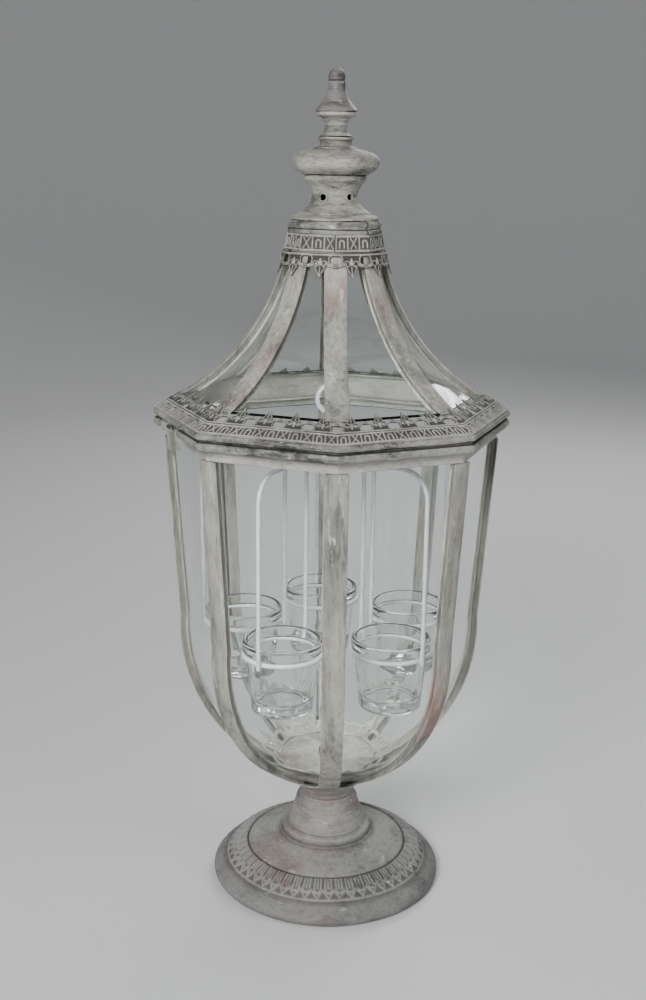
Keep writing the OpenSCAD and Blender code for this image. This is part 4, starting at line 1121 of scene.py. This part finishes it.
def crest_field(x, y):
    """Distance into the metal, in mm: the bar, the leaf and its tip, less the arches and the round holes.

    x runs along the strip, y from the straight edge to the leaf's tip.
    """
    x = x % CREST_PITCH - CREST_PITCH / 2
    edge = 11.4 + 0.8 * np.cos(4 * math.pi * x / CREST_PITCH)
    bar = np.minimum(y + 0.05, edge - y)
    down = np.clip((y - 12.3) / 6.6, 0, 1)
    leaf = 4.5 - 3.5 * down - np.hypot(x, y - 12.3 - 6.6 * down)
    knob = 1.1 - np.hypot(x, y - 18.9)
    metal = np.maximum(np.maximum(bar, leaf), knob)
    aside = np.abs(np.abs(x) - CREST_PITCH / 2)
    arch = np.hypot(np.maximum(aside - 2.6, 0), np.maximum(np.abs(y - 5.6) - 1.2, 0)) - 2.0
    holes = np.hypot(np.abs(x) - 3.5, y - 8.4) - 1.45
    return np.minimum(np.minimum(metal, arch), holes)


def crest_stand(x, y):
    """Underside, top and painted shade: a line along every cut edge, a rib down the leaf, teardrops and
    scrolls.
    """
    rim = ridge(np.abs(crest_field(x, y) - 0.8), 0.8)
    x = x % CREST_PITCH - CREST_PITCH / 2
    bar = ridge(np.abs(y - 1.1), 1.0)
    drop = ridge(np.hypot(x / 1.1, np.maximum(0, np.abs(y - 7.0) - 2.2)), 1.3)
    vein = ridge(np.abs(x), 0.8) * (y > 11)
    curls = ridge(np.abs(np.hypot(np.abs(x) - 8.2, (y - 10.0) * 1.1) - 1.5), 0.8)
    height = np.maximum.reduce([rim * 0.8, bar * 0.8, drop, vein * 0.8, curls * 0.7])
    # Painted shade wherever the stamping is low.
    return 0 * y, 0.7 + 0.7 * height, 0.9 * (1 - height)


def crest_strip(name, units, place, columns, rows, body, nodes, seed, shade_share=1.0):
    """One crested strip, settled in its place. shade_share is how dark the painted shade in its recesses is.
    """
    span = CREST_PITCH * units
    points, faces, deep = pierced(crest_field, crest_stand, place, span, CREST_TALL, columns, rows)
    piece = make_piece(name, wobble(points, 0.25 * MM, 60, seed), faces, [CREST], deep * shade_share)
    return settle(piece, body, "crest_metal", *nodes)


def octagon_place(line, sign, stretch=1.0):
    """A place function round the octagon. line holds (distance from the axis to a face, height)."""
    def place(share, y, height):
        """Out from the axis to the line's distance, then along the face by its share of the side."""
        at, normal = along_line(line, y * stretch)
        at = at + sign * normal * height[..., None]
        p = (share * SIDES) % SIDES
        face = np.floor(p).astype(int)
        out, along = face_frame(face)
        t = (2 * (p - face) - 1) * at[..., 0] * FALL
        flat = at[..., :1] * out + t[..., None] * along
        return np.concatenate([flat, at[..., 1:]], -1)
    return place


def rim_line():
    """From the tape's inner edge up the apron, then a little way up in front of the glass."""
    glass = roof_curve(low=ROOF_Z + 0.5, high=ROOF_Z + 16, count=12)[0] * [FACE, 1] + [0.6, 0.4]
    start = np.array([TAPE_IN * FACE, apron(TAPE_IN) + 0.2])
    return soft_outline(np.concatenate([[start], glass]), 3.0)


def collar_line():
    """Down from the cap collar, outside the edges of the roof ribs."""
    z = np.linspace(ROOF_TOP_Z, ROOF_TOP_Z - 24, 10)
    curve = roof_curve(low=ROOF_TOP_Z - 30, count=30)[0]
    return np.stack([np.hypot(np.interp(z, curve[:, 1], curve[:, 0]), RIB_W / 2) + 0.3, z], -1)


def floor_line():
    """Up from the floor of the bowl, inside the ribs."""
    turn = END_TURN - np.radians(np.linspace(4.6, 18.0, 14))
    deep = CURVE_R - 10.2
    return np.stack([(CURVE_X + deep * np.cos(turn)) * FACE, CURVE_Z - deep * np.sin(turn)], -1)


SPOKE_IN, SPOKE_OUT, SPOKE_HALF = 131.5, 147.5, 10.4


def spokes():
    """Eight short plates in the apron's slope, from its inner edge to the roof ribs' feet, under the crests.

    A point lies at a distance along the corner's ray and across it; the apron gives its height.
    """
    far = np.linspace(SPOKE_IN, SPOKE_OUT, 6)
    far, across = np.meshgrid(far, np.linspace(-SPOKE_HALF, SPOKE_HALF, 9), indexing="ij")
    top = apron(far + np.abs(across) * FALL) - 0.3
    plates = []
    for k in range(SIDES):
        out, along = ray(k)
        flat = far[..., None] * out + across[..., None] * along
        upper, lower = (np.concatenate([flat, top[..., None] - drop], -1).reshape(-1, 3) for drop in (0, 1.2))
        faces, points, picked = thicken(quads(*far.shape)[:, ::-1], upper, lower)
        plates.append((points * MM, faces, np.zeros(len(picked))))
    points, faces, deep = join_grids(plates)
    settle(make_piece("lid_spokes", points, faces, [STONE], deep), "lid", "stone_paint")


spokes()
crest_strip("rim_crest_strip", 35, octagon_place(rim_line(), -1), SIDES * 144, 28, "lid", ["rim_crests"],
            seed=82)
crest_strip("collar_crest_strip", 11, round_place(collar_line(), 1), 396, 30, "lid", ["collar_crests"],
            seed=83)
crest_strip("floor_crest_strip", 12, octagon_place(floor_line(), 1, 1.3), SIDES * 54, 28, "root",
            ["floor_crests"], seed=84, shade_share=0.25)
print("crests: 35 round the rim, 11 under the collar, 12 over the floor")

# %% [markdown]
# The collar and cap close the top of the roof. The cap is one strip of sheet folded into an octagon: it has
# a crease half way up, and its ends lap over each other on one side.

# %% Collar, cap and floor
TUBE_R = ROOF_TOP_R - RIB_DEEP - 1.2
CAP_R = 40.9
band("roof_top_tube", [
    (TUBE_R - SHEET, ROOF_TOP_Z - 12), (TUBE_R, ROOF_TOP_Z - 12), (TUBE_R, ROOF_TOP_Z), (42.1, ROOF_TOP_Z),
    (42.1, COLLAR_Z), (TUBE_R, COLLAR_Z), (TUBE_R, CAP_Z), (TUBE_R - SHEET, CAP_Z)],
    "lid", "stone_paint", STONE, ["roof_collar"], seed=91)
CAP_FACE = np.array([
    *above(CAP_Z, (CAP_R - 0.2, 0), (CAP_R + 0.4, 0.6), (CAP_R + 0.3, 3.4), (CAP_R - 1.0, 4.3),
           (CAP_R - 0.1, 5.2), (CAP_R + 0.1, 8.2), (CAP_R - 1.2, 10.6)), (CAP_R - 2.6, CAP_TOP)])
CAP_CREASES = (CAP_Z + 0.1, CAP_Z + 4.3)


def cap_lap():
    """The overlapped end of the cap's sheet: the same profile a little further out, bent round one corner."""
    outer = CAP_FACE + [1.2, -0.2]
    outline = clockwise(soft_outline(np.concatenate([outer, (CAP_FACE - [0.6, 0])[::-1]]), 0.4, 3)) * MM
    face = np.array([0, 0, 0, 1, 1, 1, 1])
    share = np.array([0.80, 0.83, 0.97, -0.97, -0.6, 0.1, 0.3])
    points = on_octagon(face, 0 * share, share, outline[:, 0], outline[:, 1])
    points[0, :, 0] += 1.1 * MM * np.sin((outline[:, 1] / MM - CAP_Z) * 0.9)
    rows, columns = points.shape[:2]
    deep = np.tile(crease_shade(outline[:, 1], CAP_CREASES), (rows, 1))
    deep[[0, -1]] = 0.9
    faces, caps = bar_faces(rows, columns)
    piece = make_piece("cap_lap", points.reshape(-1, 3), faces, [ROLL], deep, caps=caps)
    settle(piece, "lid", "stone_paint")


band("cap_sheet", [
    (CAP_R - SHEET, CAP_Z), *CAP_FACE, (CAP_R - 4, CAP_TOP), (CAP_R - 3.2, CAP_Z + 8)],
    "lid", "stone_paint", ROLL, ["roof_cap"], soft=0.5, seed=92, shake=0.5 * MM, creases=CAP_CREASES)
cap_lap()
turned("cap_plate", above(CAP_TOP, (2.7, -SHEET), (35.6, -SHEET), (35.6, -0.02), (2.7, -0.02)),
       "lid", "stone_paint", ROLL, [], around=64, seed=93)
FLOOR_Z, FLOOR_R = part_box("body_floor")[0][2] / MM, reach_of("body_floor")
turned("bowl_floor", above(
    FLOOR_Z, (HOLE, 0), (FLOOR_R - 0.2, 0), (FLOOR_R, 0.7), (FLOOR_R - 0.6, SHEET), (30, SHEET),
    (27, SHEET - 0.3), (HOLE, SHEET - 0.2)), "root", "stone_paint", STONE, ["body_floor"], seed=94)
print("collar, cap with its lap and plate, and floor disc: 5 pieces")

# %% [markdown]
# Where the panes meet the foot, a ring of thin sheet was pressed up against the glass by hand. It is a cone
# whose outer edge wanders in and out: a sum of sine waves round the axis, stronger towards the edge.

# %% Pressed ring under the glass
def ruffled(r, z, a):
    """Crumples the ring's outer edge."""
    edge = np.clip((r / MM - 41) / 7, 0, 1)
    wander = np.sin(9 * a + 0.7) + 0.7 * np.sin(17 * a + 2.1) + 0.5 * np.sin(31 * a + 4.4)
    rise = 0.7 * np.sin(23 * a + 1.3) + 0.5 * np.sin(37 * a + 3.3)
    return r + 0.9 * MM * edge * wander, z + 0.45 * MM * edge * (rise - 0.6), 0


SEAT_RUN = (END_TURN + 0.008, END_TURN - 0.052)
SEAT_LOW, SEAT_HIGH = (np.array([CURVE_X, CURVE_Z]) + (CURVE_R + 0.1) * np.array([math.cos(t), -math.sin(t)])
                       for t in SEAT_RUN)
turned("pressed_seat", [
    SEAT_LOW, SEAT_HIGH - [0, 0.2], SEAT_HIGH + [0.5, 0.3], SEAT_HIGH + [0, 0.8], SEAT_LOW + [0, 0.8]],
    "root", "stone_paint", STONE, [], soft=0.3, step=1.2, lift=ruffled, around=320, seed=95, shake=0.1 * MM)
print("pressed ring: 320 steps round")

# %% [markdown]
# The carrier is bent from one gauge of wire. Each wire is a flat line with rounded bends, and a circle is
# carried along it; the plane of the line gives the circle its steady direction, so the tube never twists.
# Its ends are rounded off, and a small lump of weld sits at each joint.

# %% Wire
WIRE_R = 2.0


def end_quads(sides):
    """Four-sided faces that fill a ring with an even number of points, from one side across to the other."""
    k = np.arange(sides // 2 - 1)
    return np.stack([k, k + 1, sides - 2 - k, (sides - 1 - k) % sides], -1)


def tube(line, plane, closed=False, sides=14):
    """A circle carried along a flat line of points, in mm, in the plane with the given normal.

    A point is line + WIRE_R * (cos a * side + sin a * plane), and side lies across the line's run.
    """
    line = np.asarray(line, float)
    ahead = np.roll(line, -1, 0) - np.roll(line, 1, 0)
    if not closed:
        ahead[0], ahead[-1] = line[1] - line[0], line[-1] - line[-2]
    run = ahead / np.linalg.norm(ahead, axis=1, keepdims=True)
    grow = np.full(len(line), WIRE_R)
    if not closed:
        dome = np.radians([80, 50, 22])
        start = line[0] - run[0] * WIRE_R * np.sin(dome)[:, None] * 0.6
        stop = line[-1] + run[-1] * WIRE_R * np.sin(dome[::-1])[:, None] * 0.6
        line = np.concatenate([start, line, stop])
        run = np.concatenate([np.tile(run[:1], (3, 1)), run, np.tile(run[-1:], (3, 1))])
        grow = np.concatenate([WIRE_R * np.cos(dome), grow, WIRE_R * np.cos(dome[::-1])])
    plane = unit(plane)
    side = np.cross(plane, run)
    a = np.linspace(0, 2 * math.pi, sides, endpoint=False)
    ring = np.cos(a)[None, :, None] * side[:, None] + np.sin(a)[None, :, None] * plane
    points = line[:, None] + grow[:, None, None] * ring
    faces = quads(len(line), sides, closed, True)
    if not closed:
        first = end_quads(sides)
        faces = np.concatenate([faces, first[:, ::-1], first + (len(line) - 1) * sides])
    return points.reshape(-1, 3), faces, np.zeros(points.size // 3)


def bead(centre, size):
    """A lump of weld: a sphere of the given half sizes in mm, its poles small flats."""
    rows, around = 7, 12
    polar = np.linspace(math.pi - 0.25, 0.25, rows)[:, None]
    a = np.linspace(0, 2 * math.pi, around, endpoint=False)[None, :]
    level, high = np.sin(polar), np.broadcast_to(np.cos(polar), (rows, around))
    shell = np.stack([level * np.cos(a), level * np.sin(a), high], -1)
    first = end_quads(around)
    faces = np.concatenate([quads(rows, around, False, True), first[:, ::-1], first + (rows - 1) * around])
    return np.asarray(centre) + shell.reshape(-1, 3) * size, faces, np.zeros(rows * around)


def flat_line(corners, angle, bend):
    """A line of (distance from the axis, height) with round bends, in the upright plane at an angle."""
    line = denser(soft_outline(corners, bend, 12), 6.0)
    return np.concatenate([line[:, :1] * [math.cos(angle), math.sin(angle)], line[:, 1:]], 1)


def circle_line(centre, radius, second):
    """72 points in the plane of x and a second axis: centre + radius * (cos a * x + sin a * second)."""
    a = np.linspace(0, 2 * math.pi, 72, endpoint=False)[:, None]
    return np.asarray(centre) + radius * (np.cos(a) * [1, 0, 0] + np.sin(a) * second)


CUPS = 5
CUP_ANGLES = [math.radians(-90 + 4.5 + 360 / CUPS * (i + 0.5)) for i in range(CUPS)]
CUP_MIN, CUP_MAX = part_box("votive_cup_1")
CUP_TOP, CUP_LOW = CUP_MAX[2] / MM, CUP_MIN[2] / MM
CUP_R = (CUP_MAX[0] - CUP_MIN[0]) / 2 / MM
CUP_AT = np.linalg.norm((CUP_MIN + CUP_MAX)[:2]) / 2 / MM
COLLAR_LOW = CUP_TOP - 10.5
RING_Z = COLLAR_LOW - 0.3 - WIRE_R
LEG = CUP_R + 2 * WIRE_R - 0.6
HUB_Z = RING_Z + 167.0
SHOULDER = 24.0


def upright_normal(angle):
    """Normal of the upright plane at an angle."""
    return np.array([math.sin(angle), -math.cos(angle), 0])


def holder(i):
    """A ring with a hoop over it: outer leg, shoulder, top wire to the hub, and a straight inner leg."""
    angle = CUP_ANGLES[i]
    out = np.array([math.cos(angle), math.sin(angle), 0])
    outer, inner = CUP_AT + LEG, CUP_AT - LEG
    normal = upright_normal(angle)
    hoop = flat_line([(outer, RING_Z - 3.4), (outer, HUB_Z), (7.0, HUB_Z)], angle, SHOULDER)
    leg = flat_line([(inner, RING_Z - 3.4), (inner, HUB_Z - 0.4)], angle, 1.0)
    ring = circle_line(out * CUP_AT + [0, 0, RING_Z], CUP_R, [0, 1, 0])
    parts = [tube(hoop, normal), tube(leg, normal), tube(ring, [0, 0, 1], closed=True)]
    for sign in (-1, 1):
        parts.append(bead(out * (CUP_AT + sign * (LEG - 1.7)) + [0, 0, RING_Z - 0.6], (2.4, 2.4, 2.2)))
    parts.append(bead(out * inner + [0, 0, HUB_Z - 1.2], (2.6, 2.6, 2.0)))
    points, faces, deep = join_grids(parts)
    piece = make_piece(f"cup_wire_{i + 1}", points * MM, faces, [WIRE], deep)
    settle(piece, "carrier", "wire_paint", f"cup_holder_{i + 1}")


def hub():
    """The post with its carry ring, the two arms that hang on the mouth of the body, and the boss."""
    arm_r, arm_z, post = 92, LIP_Z + 16, HUB_Z + 33
    foot_r, foot_z = BODY_R - 13, LIP_Z + 0.3 + WIRE_R
    reach = [(0, HUB_Z + 4), (arm_r, HUB_Z + 4), (arm_r, arm_z), (foot_r, arm_z), (foot_r + 0.01, arm_z)]
    arm = [flat_line(reach, 0, 7.0)[:-1],
           flat_line([(foot_r, arm_z), (foot_r, foot_z)], 0, 1.0),
           flat_line([(foot_r, foot_z), (foot_r + 5.4, foot_z)], 0, 1.0)]
    plane = upright_normal(0)
    parts = [tube(flat_line([(0, HUB_Z), (0, post + 0.6)], 0, 1.0), plane),
             tube(circle_line([0, 0, post + 13], 13, [0, 0, 1]), plane, closed=True),
             bead([0, 0, post + 0.3], (2.8, 2.8, 2.6))]
    for sign in (1, -1):
        for line in arm:
            parts.append(tube(line * [sign, 1, 1], plane))
    points, faces, deep = join_grids(parts)
    piece = make_piece("carrier_frame", points * MM, faces, [WIRE], deep)
    settle(piece, "carrier", "wire_paint", "carrier_hub")
    boss = above(HUB_Z, (0.05, -4), (6.2, -4), (7.0, -3.2), (7.0, 8), (6.2, 8.8), (0.05, 8.8))
    turned("carrier_boss", boss, "carrier", "wire_paint", WIRE, [], soft=0.8, around=40, seed=101)


for i in range(CUPS):
    holder(i)
hub()
print("carrier: 5 hoops with rings, 2 arms, 1 carry ring")

# %% [markdown]
# The cups are pressed glass, thick in the foot. A mould gave them a plain rolled collar and soft upright
# flutes round the lower wall, on a heavy base whose hollow floor bends everything seen through it. A plain
# tumbler shape would not bend the view as these do.

# %% Cups
FLUTES = 16
CUP_BODY = CUP_R - WIRE_R - 0.8
CUP_BASE = CUP_R - 7.5


def fluted(r, z, a):
    """Presses soft flutes into the lower outside wall."""
    up = z / MM - CUP_LOW
    outside = (r / MM > CUP_BASE - 1.5) & (up > 0.8)
    fade = np.clip((26 - up) / 12, 0, 1) * np.clip(up / 4, 0, 1) * outside
    return r - 0.4 * MM * fade * np.abs(np.sin(a * FLUTES / 2)), z, 0


def cups():
    """One outline turned about the axis, then set in each of the five rings."""
    base, body, lip = CUP_BASE, CUP_BODY, CUP_R
    points, faces, _ = spin([
        *above(CUP_LOW, (0.05, 1.6), (base - 6, 1.4), (base - 4, 0), (base - 1.8, 0), (base - 0.3, 1.2),
               (base, 3)),
        *above(COLLAR_LOW, (body, -1.8), (body + 0.1, -0.2), (lip - 0.7, 0.1), (lip, 1.2)),
        *above(CUP_TOP, (lip, -2.2), (lip - 0.7, -0.5), (lip - 2, 0), (lip - 3.5, -0.7), (lip - 4.2, -3)),
        (body - 3, COLLAR_LOW),
        *above(CUP_LOW, (base - 2.6, 13), (base - 5.4, 8.8), (base - 8, 8), (0.05, 8))],
        soft=1.1, around=96, lift=fluted, step=3.0, shake=0)
    for i, angle in enumerate(CUP_ANGLES):
        place = np.array([math.cos(angle), math.sin(angle), 0]) * CUP_AT * MM
        piece = make_piece(f"glass_cup_{i + 1}", points + place, faces, [CUP])
        settle(piece, f"cup_{i + 1}", "cup_glass", f"votive_cup_{i + 1}")


cups()
print("cups:", CUPS, "of", round(2 * CUP_R, 1), "mm")

# %% [markdown]
# Rods, nuts and hinge keep their CAD shapes, which are right as they are. They only get their finishes.

# %% Finishes on the CAD pieces
def coat(material, *names):
    """Gives CAD pieces a material."""
    for name in names:
        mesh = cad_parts[name].data
        mesh.materials.clear()
        mesh.materials.append(material)


coat(STEEL, "pedestal_rod", "pedestal_washer", "pedestal_nuts", "hinge_pin", "finial_rod", "finial_nut")
coat(STONE, "hinge_leaf_lower", "hinge_leaf_upper")
print("CAD pieces kept: 8")
